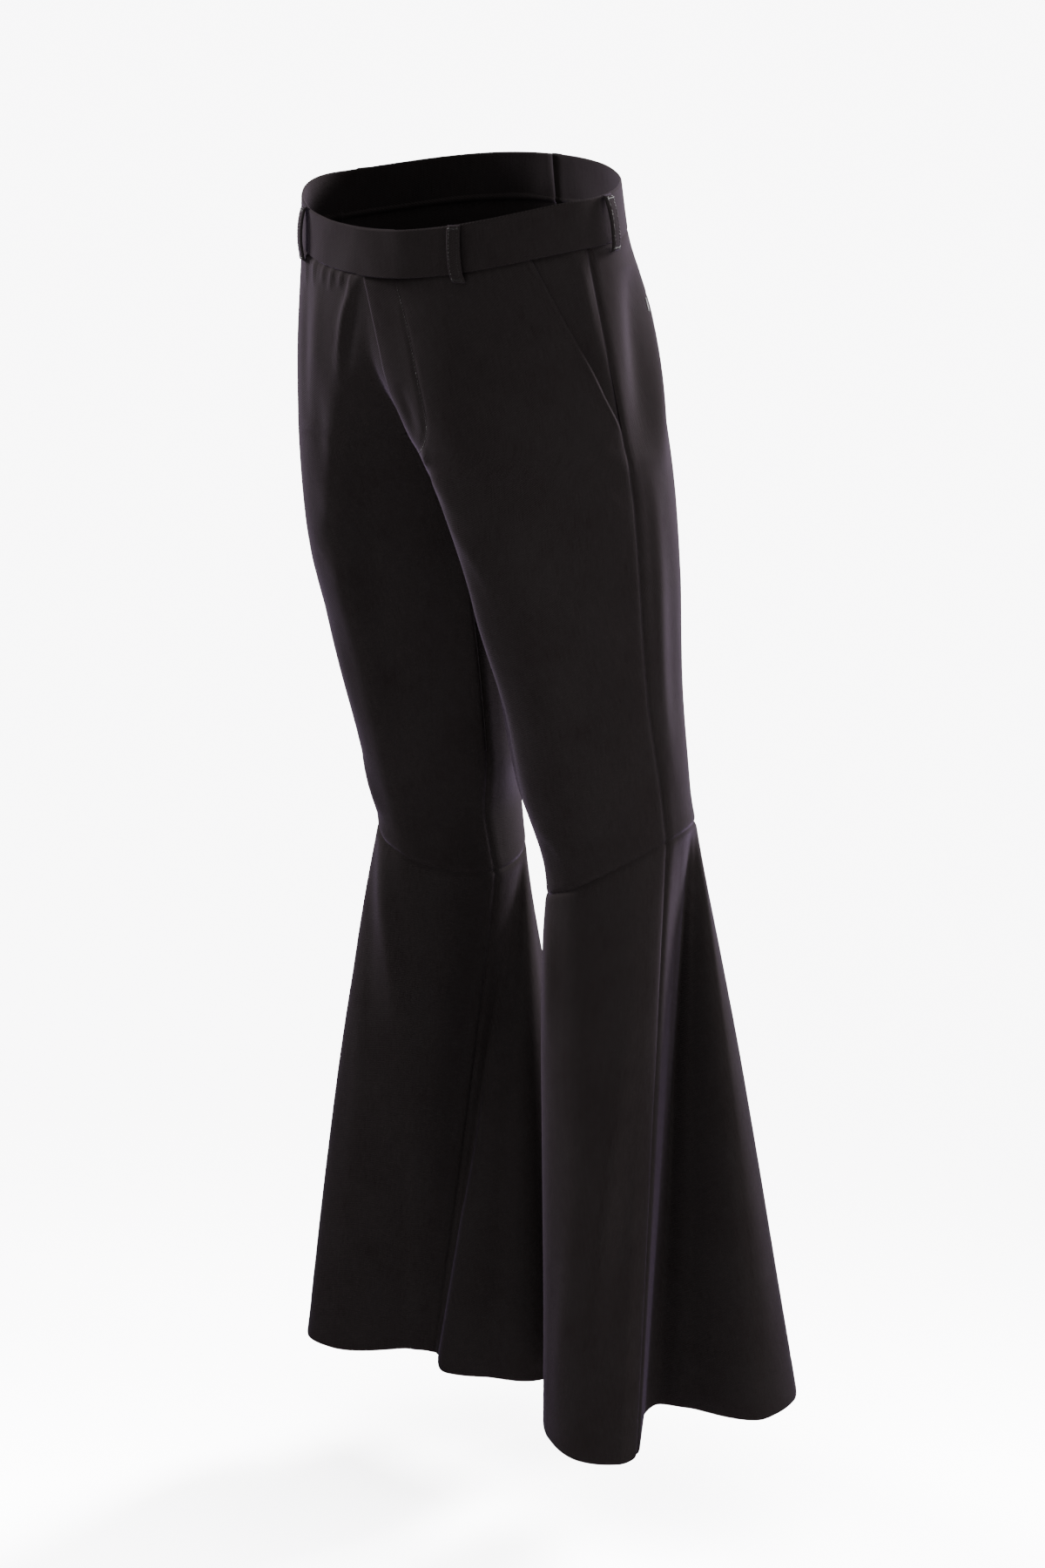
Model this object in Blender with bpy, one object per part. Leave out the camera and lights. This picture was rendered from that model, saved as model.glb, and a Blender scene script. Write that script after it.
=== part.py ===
# Flared trousers, held in the shape they have when worn, made of single cloth walls.
# Front faces -Y, the wearer's left is +X, +Z is up, the origin is the centre of the waist opening.
# Cloth that is sewn edge to edge is parted by SEAM_GAP, and a piece that lies on another is made
# from the same surface, moved out. Lengths are in metres, angles in degrees.
import math

import bpy
import bmesh
from mathutils import Vector

# cloth
CLOTH = 0.0018            # wall of one layer of suiting
BAND_CLOTH = 0.0026       # wall of the waistband, two layers
SEAM_GAP = 0.0003
PLAN_POWER = 2.15         # 2 is an ellipse, more is squarer

# heights, measured down from the waist edge at the side seams
BAND_HEIGHT = 0.034
CROTCH_DEPTH = 0.292
WAIST_FRONT_DIP = 0.020
WAIST_BACK_RISE = 0.012
DIP_ENDS = 0.200

# plan of the left half at each height: outer is the side seam, front and back the reach in Y,
# seam and fork the Y of the side seam and of the inseam, inner the X of the inseam, groin how
# square the plan is between the front and the inseam, crest how far the thigh's front lies
# outside the middle
BODY = (
    # depth, outer,  front,  back,  seam,   fork,  inner, groin, crest
    (0.000, 0.1405, -0.083, 0.103, 0.004, 0.004, 0.001, 2.15, 0.000),
    (0.035, 0.1435, -0.085, 0.105, 0.006, 0.006, 0.001, 2.15, 0.000),
    (0.100, 0.1505, -0.086, 0.111, 0.013, 0.006, 0.001, 2.05, 0.002),
    (0.170, 0.1555, -0.082, 0.112, 0.023, 0.006, 0.001, 1.60, 0.008),
    (0.230, 0.1580, -0.074, 0.109, 0.030, 0.004, 0.001, 1.25, 0.016),
    (0.292, 0.1600, -0.062, 0.105, 0.031, 0.003, 0.001, 1.10, 0.020),
    (0.370, 0.1575, -0.041, 0.104, 0.037, 0.015, 0.010, 1.15, 0.020),
    (0.450, 0.1550, -0.024, 0.106, 0.050, 0.030, 0.024, 1.45, 0.014),
    (0.510, 0.1540, -0.010, 0.114, 0.056, 0.044, 0.045, 1.60, 0.004),
    (0.580, 0.1540, -0.003, 0.116, 0.060, 0.056, 0.047, 1.90, 0.000),
)
BODY_COLUMNS = ("depth", "outer", "front", "back", "seam", "fork", "inner", "groin", "crest")
CREST_OUTSIDE = 6.0       # how soon the crest's shift ends to the outside of the front
GROIN_TURN = 40.0         # degrees over which the front's squareness gives way to the groin's

# how fast the seat seam leaves the centre above the crotch: share that grows evenly, share that
# grows by a power, and the power
FRONT_RISE = (0.10, 2.4)
BACK_RISE = (0.35, 1.5)

# folds round each leg, from the inseam (-180) past the front (-90), the side seam (0) and the back
# (90): where the fold's thread leaves the knee seam, where it reaches the hem, its reach from the
# flare's centre there, how far the hem is lifted, and how far the thread swells on its way
FLARE_CENTRE_X = 0.092
FLARE_CENTRE_Y = 0.072
SWELL_HIGH = 0.6          # below 1 the threads swell most above the middle of the flare
FOLD_COLUMNS = ("knee_angle", "hem_angle", "reach", "lift", "swell")
LEFT_FOLDS = (
    (-180, -180, 0.080, 0.000, 0.000),
    (-132, -132, 0.078, 0.004, 0.006),
    (-84, -92, 0.107, 0.000, 0.002),
    (-48, -68, 0.126, 0.000, 0.000),
    (-14, -53, 0.128, 0.003, 0.000),
    (2, -46.5, 0.113, 0.006, -0.004),
    (15, -45.5, 0.064, 0.012, -0.012),
    (26, -34, 0.052, 0.016, -0.014),
    (40, -14, 0.068, 0.016, -0.004),
    (56, 6, 0.122, 0.016, 0.006),
    (68, 24, 0.126, 0.016, 0.006),
    (80, 50, 0.106, 0.016, 0.004),
    (98, 80, 0.082, 0.012, 0.000),
    (118, 110, 0.116, 0.006, 0.004),
    (148, 146, 0.080, 0.004, 0.000),
)
RIGHT_FOLDS = (
    (-222, -160, 0.094, 0.000, 0.004),
    (-214, -130, 0.080, 0.000, 0.000),
    (-206, -106, 0.082, 0.000, -0.004),
    (-190, -88, 0.067, 0.004, -0.006),
    (-112, -70, 0.082, 0.004, 0.000),
    (-62, -54, 0.144, 0.000, 0.004),
    (-42, -42, 0.166, 0.000, 0.005),
    (-14, -14, 0.124, 0.006, 0.000),
    (20, 20, 0.088, 0.012, -0.004),
    (52, 52, 0.120, 0.014, 0.004),
    (86, 88, 0.088, 0.010, -0.002),
    (112, 126, 0.102, 0.004, -0.004),
    (130, 162, 0.084, 0.002, 0.000),
)
# each knee seam climbs by its slant towards the angle given: 0 is the side seam, 90 the back
LEGS = {
    "left": {"folds": LEFT_FOLDS, "knee_seam": 0.508, "slant": 0.026, "slant_toward": 30.0, "hem": 0.970,
             "mirror": 1.0},
    "right": {"folds": RIGHT_FOLDS, "knee_seam": 0.532, "slant": 0.020, "slant_toward": -4.0, "hem": 0.980,
              "mirror": -1.0},
}

# sampling
ROWS_ABOVE_CROTCH = 10
ROWS_THIGH = 7
ROWS_FLARE = 9
COLUMNS = 27
COLUMNS_BY_HEM = 0.6
BAND_COLUMNS = 32
HALVINGS = 30             # steps to the angle at which a plan meets the centre

# slant pockets
POCKET_TOP_ANGLE = -26.0  # where the mouth meets the waistband
POCKET_BOTTOM = 0.166     # where it meets the side seam
POCKET_UNDER = 8.0        # degrees that the bearer runs in under the mouth
POCKET_CLEAR = 0.0010     # room between it and the front's flat facets

# fly and the waistband's lap
FLY_END = 0.160
FLY_EASE = 0.030          # the left front stands a cloth's wall forward at its edge, over this width
BAND_PROUD = 0.0006       # the waistband stands out from the panels below it
BAND_LAP = 1.0            # degrees that the left end passes the centre
BAND_UNDERLAP = 12.0      # degrees that the right end runs on underneath
BAND_EASE = 14.0          # degrees over which the left end rises to lie on it

# belt loops, at these angles on both sides, and one at the centre back
LOOP_ANGLES = {"front": -54.0, "back": 13.0}
LOOP_WIDTH = 0.010
LOOP_THICK = 0.0016
LOOP_PROUD = 0.0038
LOOP_PAST_BAND = 0.006
LOOP_ROWS = 13

# back pockets
WELT_DEPTH = 0.082
WELT_HEIGHT = 0.010
WELT_ANGLES = (36.0, 74.0)
WELT_SLANT = 0.004
WELT_THICK = 0.0012
BUTTON_ANGLE = 55.0
BUTTON_BELOW_WELT = 0.009
BUTTON_RADIUS = 0.0055
BUTTON_THICK = 0.0025
BUTTON_SIDES = 20

CLOTH_COLOUR = (0.013, 0.011, 0.012, 1.0)
BUTTON_COLOUR = (0.010, 0.009, 0.009, 1.0)


def clear_scene():
    for item in list(bpy.data.objects):
        bpy.data.objects.remove(item, do_unlink=True)


def material(name, colour, roughness, metallic=0.0):
    made = bpy.data.materials.new(name)
    made.use_nodes = True
    shader = made.node_tree.nodes["Principled BSDF"]
    shader.inputs["Base Color"].default_value = colour
    shader.inputs["Roughness"].default_value = roughness
    shader.inputs["Metallic"].default_value = metallic
    return made


def smooth(value):
    value = min(1.0, max(0.0, value))
    return value * value * (3.0 - 2.0 * value)


def mix(start, end, share):
    return start + (end - start) * share


def cubic(places, values, at):
    """Smooth curve through values at rising places that never overshoots them."""
    last = len(places) - 1
    at = min(places[last], max(places[0], at))
    i = 0
    while i < last - 1 and at > places[i + 1]:
        i += 1

    def rise(k):
        return (values[k + 1] - values[k]) / (places[k + 1] - places[k])

    def slope(k):
        if k == 0:
            return rise(0)
        if k == last:
            return rise(last - 1)
        before, after = rise(k - 1), rise(k)
        if before * after <= 0.0:
            return 0.0
        share = (1.0 + (places[k + 1] - places[k]) / (places[k + 1] - places[k - 1])) / 3.0
        return before * after / mix(before, after, share)

    span = places[i + 1] - places[i]
    s = (at - places[i]) / span
    return (values[i] * (1 + 2 * s) * (1 - s) ** 2 + values[i + 1] * s * s * (3 - 2 * s)
            + span * (slope(i) * s * (1 - s) ** 2 - slope(i + 1) * s * s * (1 - s)))


def column(rows, columns, name):
    k = columns.index(name)
    return [row[k] for row in rows]


def body_size(name, depth):
    return cubic(column(BODY, BODY_COLUMNS, "depth"), column(BODY, BODY_COLUMNS, name), depth)


def power(value, exponent):
    return math.copysign(abs(value) ** exponent, value)


def inner_reach(depth, back):
    """X where the half's plan would close: past the centre above the crotch, the inseam below."""
    if depth >= CROTCH_DEPTH:
        return body_size("inner", depth)
    up = min(1.0, (CROTCH_DEPTH - depth) / (CROTCH_DEPTH - BAND_HEIGHT))
    even, exponent = BACK_RISE if back else FRONT_RISE
    share = even * up + (1.0 - even) * up ** exponent
    outer = body_size("outer", depth)
    return mix(body_size("inner", depth), -outer, share)


def squareness(angle, depth):
    """How square the plan is at this angle: the groin is rounder or more pointed than the rest."""
    return mix(PLAN_POWER, body_size("groin", depth), smooth((-90.0 - angle) / GROIN_TURN))


def plan_x(angle, depth):
    outer, inner = body_size("outer", depth), inner_reach(depth, angle > 0)
    across = power(math.cos(math.radians(angle)), 2 / squareness(angle, depth))
    if angle > 0:
        crest = 0.0
    else:
        exponent = 2.0 if angle < -90 else CREST_OUTSIDE
        crest = body_size("crest", depth) * abs(math.sin(math.radians(angle))) ** exponent
    return (outer + inner) / 2 + (outer - inner) / 2 * across + crest


def end_angle(depth, back):
    """Angle at which the half's plan meets the centre, or the inseam below the crotch."""
    sign = 1.0 if back else -1.0
    half = (body_size("outer", depth) - inner_reach(depth, back)) / 2
    low, high = 0.0, 180.0 - math.degrees(SEAM_GAP / 2 / half)
    if plan_x(sign * high, depth) > SEAM_GAP / 2:
        return high
    for _ in range(HALVINGS):
        middle = (low + high) / 2
        if plan_x(sign * middle, depth) > SEAM_GAP / 2:
            low = middle
        else:
            high = middle
    return high


def body_point(angle, depth):
    """Point of the left half's outer face: 0 is the side seam, -90 the front, 90 the back."""
    angle = (angle + 180) % 360 - 180
    back = angle > 0
    cosine, sine = math.cos(math.radians(angle)), math.sin(math.radians(angle))
    seam, fork = body_size("seam", depth), body_size("fork", depth)
    level = (seam + fork) / 2
    reach = body_size("back", depth) - level if back else level - body_size("front", depth)
    y = mix(seam, fork, (1 - cosine) / 2) + reach * power(sine, 2 / squareness(angle, depth))
    tilt = WAIST_BACK_RISE if back else -WAIST_FRONT_DIP
    fade = 1 - smooth((depth - BAND_HEIGHT) / (DIP_ENDS - BAND_HEIGHT))
    return Vector((plan_x(angle, depth), y, -depth + tilt * sine * sine * fade))


def leg_point(leg, angle, depth):
    """Rows below the crotch lean over until the last one is the slanted knee seam."""
    share = smooth((depth - CROTCH_DEPTH) / (leg["knee_seam"] - CROTCH_DEPTH))
    slant = leg["slant"] * math.cos(math.radians(angle - leg["slant_toward"]))
    return body_point(angle, depth - slant * share)


def fold_size(leg, name, angle):
    """Reads the folds round the leg for the thread that leaves the knee seam at this angle."""
    values, angles = [], []
    for turn in (-360, 0, 360):
        grows = turn if name == "hem_angle" else 0
        values += [value + grows for value in column(leg["folds"], FOLD_COLUMNS, name)]
        angles += [value + turn for value in column(leg["folds"], FOLD_COLUMNS, "knee_angle")]
    return cubic(angles, values, angle)


def flare_point(leg, angle, share):
    """Point of the flare's outer face: share 0 is the knee seam, 1 the hem."""
    turn = math.radians(fold_size(leg, "hem_angle", angle))
    reach = fold_size(leg, "reach", angle)
    out = Vector((math.cos(turn), math.sin(turn), 0.0))
    height = fold_size(leg, "lift", angle) - leg["hem"]
    hem = Vector((FLARE_CENTRE_X, FLARE_CENTRE_Y, height)) + out * reach
    swell = fold_size(leg, "swell", angle) * math.sin(math.pi * max(share, 0.0) ** SWELL_HIGH)
    return leg_point(leg, angle, leg["knee_seam"]).lerp(hem, share) + out * swell


def normal_at(surface, u, v, step=0.0004):
    """Outward normal of a surface whose u runs from front to back and v runs down."""
    across = surface(u + step, v) - surface(u - step, v)
    down = surface(u, v + step) - surface(u, v - step)
    return down.cross(across).normalized()


def level_out(normal):
    return Vector((normal.x, normal.y, 0.0)).normalized()


def even(count):
    return [i / (count - 1) for i in range(count)]


def wall(surface, across, down, thick, lift=None, lift_along=None, square=None):
    """Outer and inner grids of a wall on surface(u, v), whose thickness runs along the normal.

    lift(u, v) moves both out, level, or along a fixed direction; square(u, v, normal) turns the
    rims square to their seams.
    """
    outer, inner = [], []
    for v in down:
        line_out, line_in = [], []
        for u in across:
            point = surface(u, v)
            normal = normal_at(surface, u, v)
            if square:
                normal = square(u, v, normal)
            if lift:
                point = point + (lift_along or level_out(normal)) * lift(u, v)
            line_out.append(point)
            line_in.append(point - normal * thick)
        outer.append(line_out)
        inner.append(line_in)
    return outer, inner


def wall_mesh(name, grids):
    """Closes an outer and an inner grid of points into one solid, with rims all round."""
    rows, columns = len(grids[0]), len(grids[0][0])
    points = [point for grid in grids for line in grid for point in line]

    def at(side, row, col):
        return (side * rows + row) * columns + col

    faces = []
    for row in range(rows - 1):
        for col in range(columns - 1):
            for side in (0, 1):
                faces.append((at(side, row, col), at(side, row, col + 1),
                              at(side, row + 1, col + 1), at(side, row + 1, col)))
    for row in range(rows - 1):
        for col in (0, columns - 1):
            faces.append((at(0, row, col), at(0, row + 1, col), at(1, row + 1, col), at(1, row, col)))
    for col in range(columns - 1):
        for row in (0, rows - 1):
            faces.append((at(0, row, col), at(0, row, col + 1), at(1, row, col + 1), at(1, row, col)))
    mesh = bpy.data.meshes.new(name)
    mesh.from_pydata(points, [], faces)
    return mesh


def place(name, mesh, leg, finish, parent):
    """Adds a piece, mirrored for the right side, with its faces pointing out."""
    body = bmesh.new()
    body.from_mesh(mesh)
    for point in body.verts:
        point.co.x *= leg["mirror"]
    body.normal_update()
    bmesh.ops.recalc_face_normals(body, faces=body.faces)
    body.to_mesh(mesh)
    body.free()
    mesh.shade_smooth()
    mesh.set_sharp_from_angle(angle=math.radians(40))
    mesh.materials.append(finish)
    item = bpy.data.objects.new(name, mesh)
    item.parent = parent
    bpy.context.scene.collection.objects.link(item)


def hem_columns(leg, start, end):
    """Columns of a panel as shares of its turn, drawn towards even spacing along its hem."""
    steps = 400
    points = [flare_point(leg, mix(start, end, i / steps), 1.0) for i in range(steps + 1)]
    along = [0.0]
    for before, after in zip(points, points[1:]):
        along.append(along[-1] + (after - before).length)
    shares = []
    k = 0
    for share in even(COLUMNS):
        want = along[-1] * share
        while k < steps - 1 and along[k + 1] < want:
            k += 1
        by_hem = (k + (want - along[k]) / (along[k + 1] - along[k])) / steps
        shares.append(mix(share, by_hem, COLUMNS_BY_HEM))
    return shares


def panel_rows(leg):
    """Rows from under the waistband to the knee seam, closer together towards the crotch."""
    top, knee = BAND_HEIGHT + SEAM_GAP, leg["knee_seam"] - SEAM_GAP / 2
    upper = [mix(top, CROTCH_DEPTH, share ** 0.85) for share in even(ROWS_ABOVE_CROTCH)]
    lower = [mix(CROTCH_DEPTH, knee, share) for share in even(ROWS_THIGH)]
    return upper + lower[1:]


def panel_square(leg, inseam):
    """Panels meet at a corner along the inseam, and meet the flare level at the knee seam."""
    knee_row = panel_rows(leg)[-1]

    def square(u, depth, normal):
        if u == inseam and depth >= CROTCH_DEPTH:
            normal = Vector((normal.x, 0.0, normal.z)).normalized()
        return level_out(normal) if depth == knee_row else normal

    return square


def side_gap(depth):
    """Half of the side seam's gap, in degrees."""
    return math.degrees(SEAM_GAP / 2 / (body_size("back", depth) - body_size("seam", depth)))


def mouth_angle(depth):
    """Angle of the slant pocket's mouth, and of the side seam below it."""
    share = (depth - BAND_HEIGHT) / (POCKET_BOTTOM - BAND_HEIGHT)
    return POCKET_TOP_ANGLE * max(0.0, 1.0 - share)


def front_panel(side, finish, parent):
    leg = LEGS[side]
    laps = side == "left"

    def surface(u, depth):
        start, end = -end_angle(depth, False), mouth_angle(depth) - side_gap(depth)
        return leg_point(leg, mix(start, end, u), depth)

    def lift(u, depth):
        if not laps:
            return 0.0
        across = (surface(u, depth) - surface(0.0, depth)).length
        covered = smooth((FLY_END - depth) / 0.02)
        return (CLOTH + SEAM_GAP) * covered * (1 - smooth(across / FLY_EASE))

    square = panel_square(leg, 0.0)
    columns, forward = hem_columns(leg, -180, 0), Vector((0.0, -1.0, 0.0))
    grids = wall(surface, columns, panel_rows(leg), CLOTH, lift, forward, square)
    place("front_" + side, wall_mesh("front_" + side, grids), leg, finish, parent)


def back_panel(side, finish, parent):
    leg = LEGS[side]

    def surface(u, depth):
        return leg_point(leg, mix(side_gap(depth), end_angle(depth, True), u), depth)

    square = panel_square(leg, 1.0)
    grids = wall(surface, hem_columns(leg, 0, 180), panel_rows(leg), CLOTH, square=square)
    place("back_" + side, wall_mesh("back_" + side, grids), leg, finish, parent)


def flare(side, face, finish, parent):
    leg = LEGS[side]
    start, end = (0, 180) if face == "back" else (-180, 0)
    gap = side_gap(leg["knee_seam"])

    def surface(u, share):
        return flare_point(leg, mix(start + gap, end - gap, u), share)

    top = SEAM_GAP / 2 / (leg["hem"] - leg["knee_seam"])
    down = [mix(top, 1.0, share) for share in even(ROWS_FLARE)]

    def thigh(u, depth):
        return leg_point(leg, mix(start + gap, end - gap, u), depth)

    def seam(u, share):
        return flare_point(leg, mix(start, end, u), share)

    def square(u, share, normal):
        if share == top:
            return level_out(normal_at(thigh, u, leg["knee_seam"]))
        return normal_at(seam, u, share) if u in (0.0, 1.0) else normal

    grids = wall(surface, hem_columns(leg, start, end), down, CLOTH, square=square)
    name = "flare_%s_%s" % (face, side)
    place(name, wall_mesh(name, grids), leg, finish, parent)


def pocket_bearer(side, finish, parent):
    """Cloth seen inside the slant mouth: under the front's edge, level with the back's."""
    leg = LEGS[side]

    def surface(u, depth):
        return leg_point(leg, mix(mouth_angle(depth) - POCKET_UNDER, -side_gap(depth), u), depth)

    def lift(u, depth):
        mouth = -mouth_angle(depth)
        open_share = (u * (mouth + POCKET_UNDER) - POCKET_UNDER) / max(mouth, 0.1)
        level = smooth((open_share - 0.1) / 0.9) * smooth(mouth / 12.0)
        return -(CLOTH + POCKET_CLEAR) * (1.0 - level)

    down = [mix(BAND_HEIGHT + SEAM_GAP, POCKET_BOTTOM, share) for share in even(10)]
    grids = wall(surface, even(12), down, CLOTH, lift)
    place("pocket_bearer_" + side, wall_mesh("pocket_bearer_" + side, grids), leg, finish, parent)


def waistband(side, finish, parent):
    leg = LEGS[side]
    centre = -end_angle(BAND_HEIGHT, False)
    start = centre - (BAND_LAP if side == "left" else BAND_UNDERLAP)
    end = end_angle(BAND_HEIGHT, True)

    def surface(u, depth):
        return body_point(mix(start, end, u), depth)

    def lift(u, depth):
        if side == "right":
            return BAND_PROUD
        past = mix(start, end, u) - (centre + BAND_UNDERLAP + 1.0)
        return BAND_PROUD + (BAND_CLOTH + SEAM_GAP) * (1 - smooth(past / BAND_EASE))

    down = [mix(0.0, BAND_HEIGHT, share) for share in even(4)]
    grids = wall(surface, even(BAND_COLUMNS), down, BAND_CLOTH, lift)
    place("waistband_" + side, wall_mesh("waistband_" + side, grids), leg, finish, parent)


def strap_mesh(name, angle=None):
    """Belt loop: a strip down across the band at one angle, or at the centre back, sprung clear."""
    reach = BAND_HEIGHT + LOOP_PAST_BAND
    outer, inner = [], []
    for share in even(LOOP_ROWS):
        depth = mix(0.0, reach, share)
        at = end_angle(depth, True) if angle is None else angle
        point = body_point(at, depth)
        normal = level_out(normal_at(body_point, at, max(depth, 0.001)))
        across = Vector((-normal.y, normal.x, 0.0)) * LOOP_WIDTH / 2
        spring = math.sin(math.pi * share) ** 0.5 if 0 < share < 1 else 0.0
        rest = BAND_PROUD + SEAM_GAP * 1.5
        low, high = rest + LOOP_PROUD * spring, rest + LOOP_PROUD * spring + LOOP_THICK
        outer.append([point + normal * high + across * end for end in (-1, 0, 1)])
        inner.append([point + normal * low + across * end for end in (-1, 0, 1)])
    return wall_mesh(name, (outer, inner))


def belt_loops(finish, parent):
    for side, leg in LEGS.items():
        for place_name, angle in LOOP_ANGLES.items():
            name = "belt_loop_%s_%s" % (place_name, side)
            place(name, strap_mesh(name, angle), leg, finish, parent)
    centre = strap_mesh("belt_loop_centre_back")
    place("belt_loop_centre_back", centre, LEGS["left"], finish, parent)


def back_welt(side, finish, parent):
    leg = LEGS[side]

    def surface(u, v):
        depth = WELT_DEPTH + WELT_SLANT * (0.5 - u) + WELT_HEIGHT * v
        return leg_point(leg, mix(WELT_ANGLES[0], WELT_ANGLES[1], u), depth)

    def lift(u, v):
        return WELT_THICK + SEAM_GAP

    grids = wall(surface, even(22), even(4), WELT_THICK, lift)
    place("back_welt_" + side, wall_mesh("back_welt_" + side, grids), leg, finish, parent)


def back_button(side, finish, parent):
    leg = LEGS[side]
    depth = WELT_DEPTH + WELT_HEIGHT + BUTTON_BELOW_WELT
    normal = normal_at(body_point, BUTTON_ANGLE, depth, 0.001)
    foot = body_point(BUTTON_ANGLE, depth) + normal * SEAM_GAP
    body = bmesh.new()
    turn = normal.to_track_quat("Z", "Y").to_matrix().to_4x4()
    bmesh.ops.create_cone(body, cap_ends=True, segments=BUTTON_SIDES, radius1=BUTTON_RADIUS,
                          radius2=BUTTON_RADIUS, depth=BUTTON_THICK)
    rims = [edge for edge in body.edges if abs(edge.verts[0].co.z - edge.verts[1].co.z) < 1e-6]
    bmesh.ops.bevel(body, geom=rims, offset=0.0006, segments=2, affect="EDGES")
    bmesh.ops.translate(body, verts=body.verts, vec=(0.0, 0.0, BUTTON_THICK / 2))
    bmesh.ops.transform(body, verts=body.verts, matrix=turn)
    bmesh.ops.translate(body, verts=body.verts, vec=foot)
    mesh = bpy.data.meshes.new("back_button_" + side)
    body.to_mesh(mesh)
    body.free()
    place("back_button_" + side, mesh, leg, finish, parent)


def main():
    clear_scene()
    cloth = material("twill_suiting", CLOTH_COLOUR, 0.8)
    horn = material("polyester_button", BUTTON_COLOUR, 0.35)
    trousers = bpy.data.objects.new("trousers", None)
    bpy.context.scene.collection.objects.link(trousers)
    for side in LEGS:
        waistband(side, cloth, trousers)
        front_panel(side, cloth, trousers)
        back_panel(side, cloth, trousers)
        pocket_bearer(side, cloth, trousers)
        flare(side, "front", cloth, trousers)
        flare(side, "back", cloth, trousers)
        back_welt(side, cloth, trousers)
        back_button(side, horn, trousers)
    belt_loops(cloth, trousers)


main()
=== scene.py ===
# Flared trousers in fine dark twill suiting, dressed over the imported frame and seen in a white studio.
# The front faces -Y, the wearer's left is +X, +Z is up, and lengths are in metres. Each half is built
# as a left half. Its angles run round it in degrees: 0 side seam, -90 front, 90 back, 180 inseam.
import math

import bmesh
import bpy
import numpy as np
from mathutils import Matrix, Vector
from mathutils.bvhtree import BVHTree


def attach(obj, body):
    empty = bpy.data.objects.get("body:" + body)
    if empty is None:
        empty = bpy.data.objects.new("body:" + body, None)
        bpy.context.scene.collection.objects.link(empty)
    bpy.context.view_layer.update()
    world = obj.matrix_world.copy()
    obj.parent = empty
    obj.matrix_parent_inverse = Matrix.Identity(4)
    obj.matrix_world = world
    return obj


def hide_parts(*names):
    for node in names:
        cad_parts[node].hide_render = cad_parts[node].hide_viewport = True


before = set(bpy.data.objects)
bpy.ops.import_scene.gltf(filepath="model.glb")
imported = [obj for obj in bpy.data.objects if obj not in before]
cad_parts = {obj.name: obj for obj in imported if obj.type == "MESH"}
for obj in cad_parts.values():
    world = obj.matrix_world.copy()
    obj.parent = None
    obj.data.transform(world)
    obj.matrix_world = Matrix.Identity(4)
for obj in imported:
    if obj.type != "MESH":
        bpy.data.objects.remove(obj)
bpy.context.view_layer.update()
print("frame loaded,", len(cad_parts), "nodes")

# the cut, as the frame's solids have it
cut = {
    "wall": 0.0013,          # one layer of suiting with its interlining or hem
    "bandWall": 0.0026,
    "bandHeight": 0.034,
    "bandProud": 0.0006,
    "crotchDepth": 0.292,
    "planPower": 2.15,       # 2 is an ellipse, more is squarer
    "crestOutside": 6.0,     # how soon the crest's shift ends to the outside of the front
    "groinTurn": 40.0,       # degrees over which the front's squareness gives way to the groin's
    "tuckIn": 0.003,         # how far the panels run up inside the waistband
    "frontDip": 0.020,
    "backRise": 0.012,
    "dipEnds": 0.200,
    "pocketTopAngle": -26.0,
    "pocketBottom": 0.166,
    "pocketUnder": 8.0,      # degrees that the bearer runs in under the mouth
    "pocketSink": 0.0017,
    "flyEnd": 0.186,
    "flyEase": 0.030,
    "flyLift": 0.0019,
    "flyUnder": 6.0,         # degrees that the right front runs on under the fly's edge
    "flyDepth": (0.034, 0.066, 0.090, 0.108, 0.132, 0.156, 0.172, 0.196),
    "flyCut": (0.0, 3.7, 7.0, 9.5, 14.0, 20.0, 21.0, 0.0),   # degrees that it stands back from centre
    "bandLap": 1.0,
    "bandUnderlap": 12.0,
    "bandEase": 14.0,
    "flareCentre": (0.092, 0.072),
    "halvings": 30,          # steps to the angle at which a plan meets the centre
    "swellHigh": 0.6,        # below 1 the threads swell most above the middle of the flare
}

# plan of a half at each depth below the waist: reach of the side seam, front and back, the level of
# the side seam and of the inseam, the inseam's own place, how square the plan is at the groin, and
# how far the thigh's front lies outside the middle
plan = {
    "depth": (0.000, 0.035, 0.100, 0.170, 0.230, 0.292, 0.370, 0.450, 0.510, 0.580),
    "outer": (0.1405, 0.1435, 0.1505, 0.1555, 0.1580, 0.1600, 0.1575, 0.1550, 0.1540, 0.1540),
    "front": (-0.083, -0.085, -0.086, -0.082, -0.074, -0.062, -0.041, -0.024, -0.010, -0.003),
    "back": (0.103, 0.105, 0.111, 0.112, 0.109, 0.105, 0.104, 0.106, 0.114, 0.116),
    "seam": (0.004, 0.006, 0.013, 0.023, 0.030, 0.031, 0.037, 0.050, 0.056, 0.060),
    "fork": (0.004, 0.006, 0.006, 0.006, 0.004, 0.003, 0.015, 0.030, 0.044, 0.056),
    "inner": (0.001, 0.001, 0.001, 0.001, 0.001, 0.001, 0.010, 0.024, 0.045, 0.047),
    "groin": (2.15, 2.15, 2.05, 1.60, 1.25, 1.10, 1.15, 1.45, 1.60, 1.90),
    "crest": (0.000, 0.000, 0.002, 0.008, 0.016, 0.020, 0.020, 0.014, 0.004, 0.000),
}
seatRise = {"front": (0.10, 2.4), "back": (0.35, 1.5)}   # even share and power of the seat curve

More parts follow.
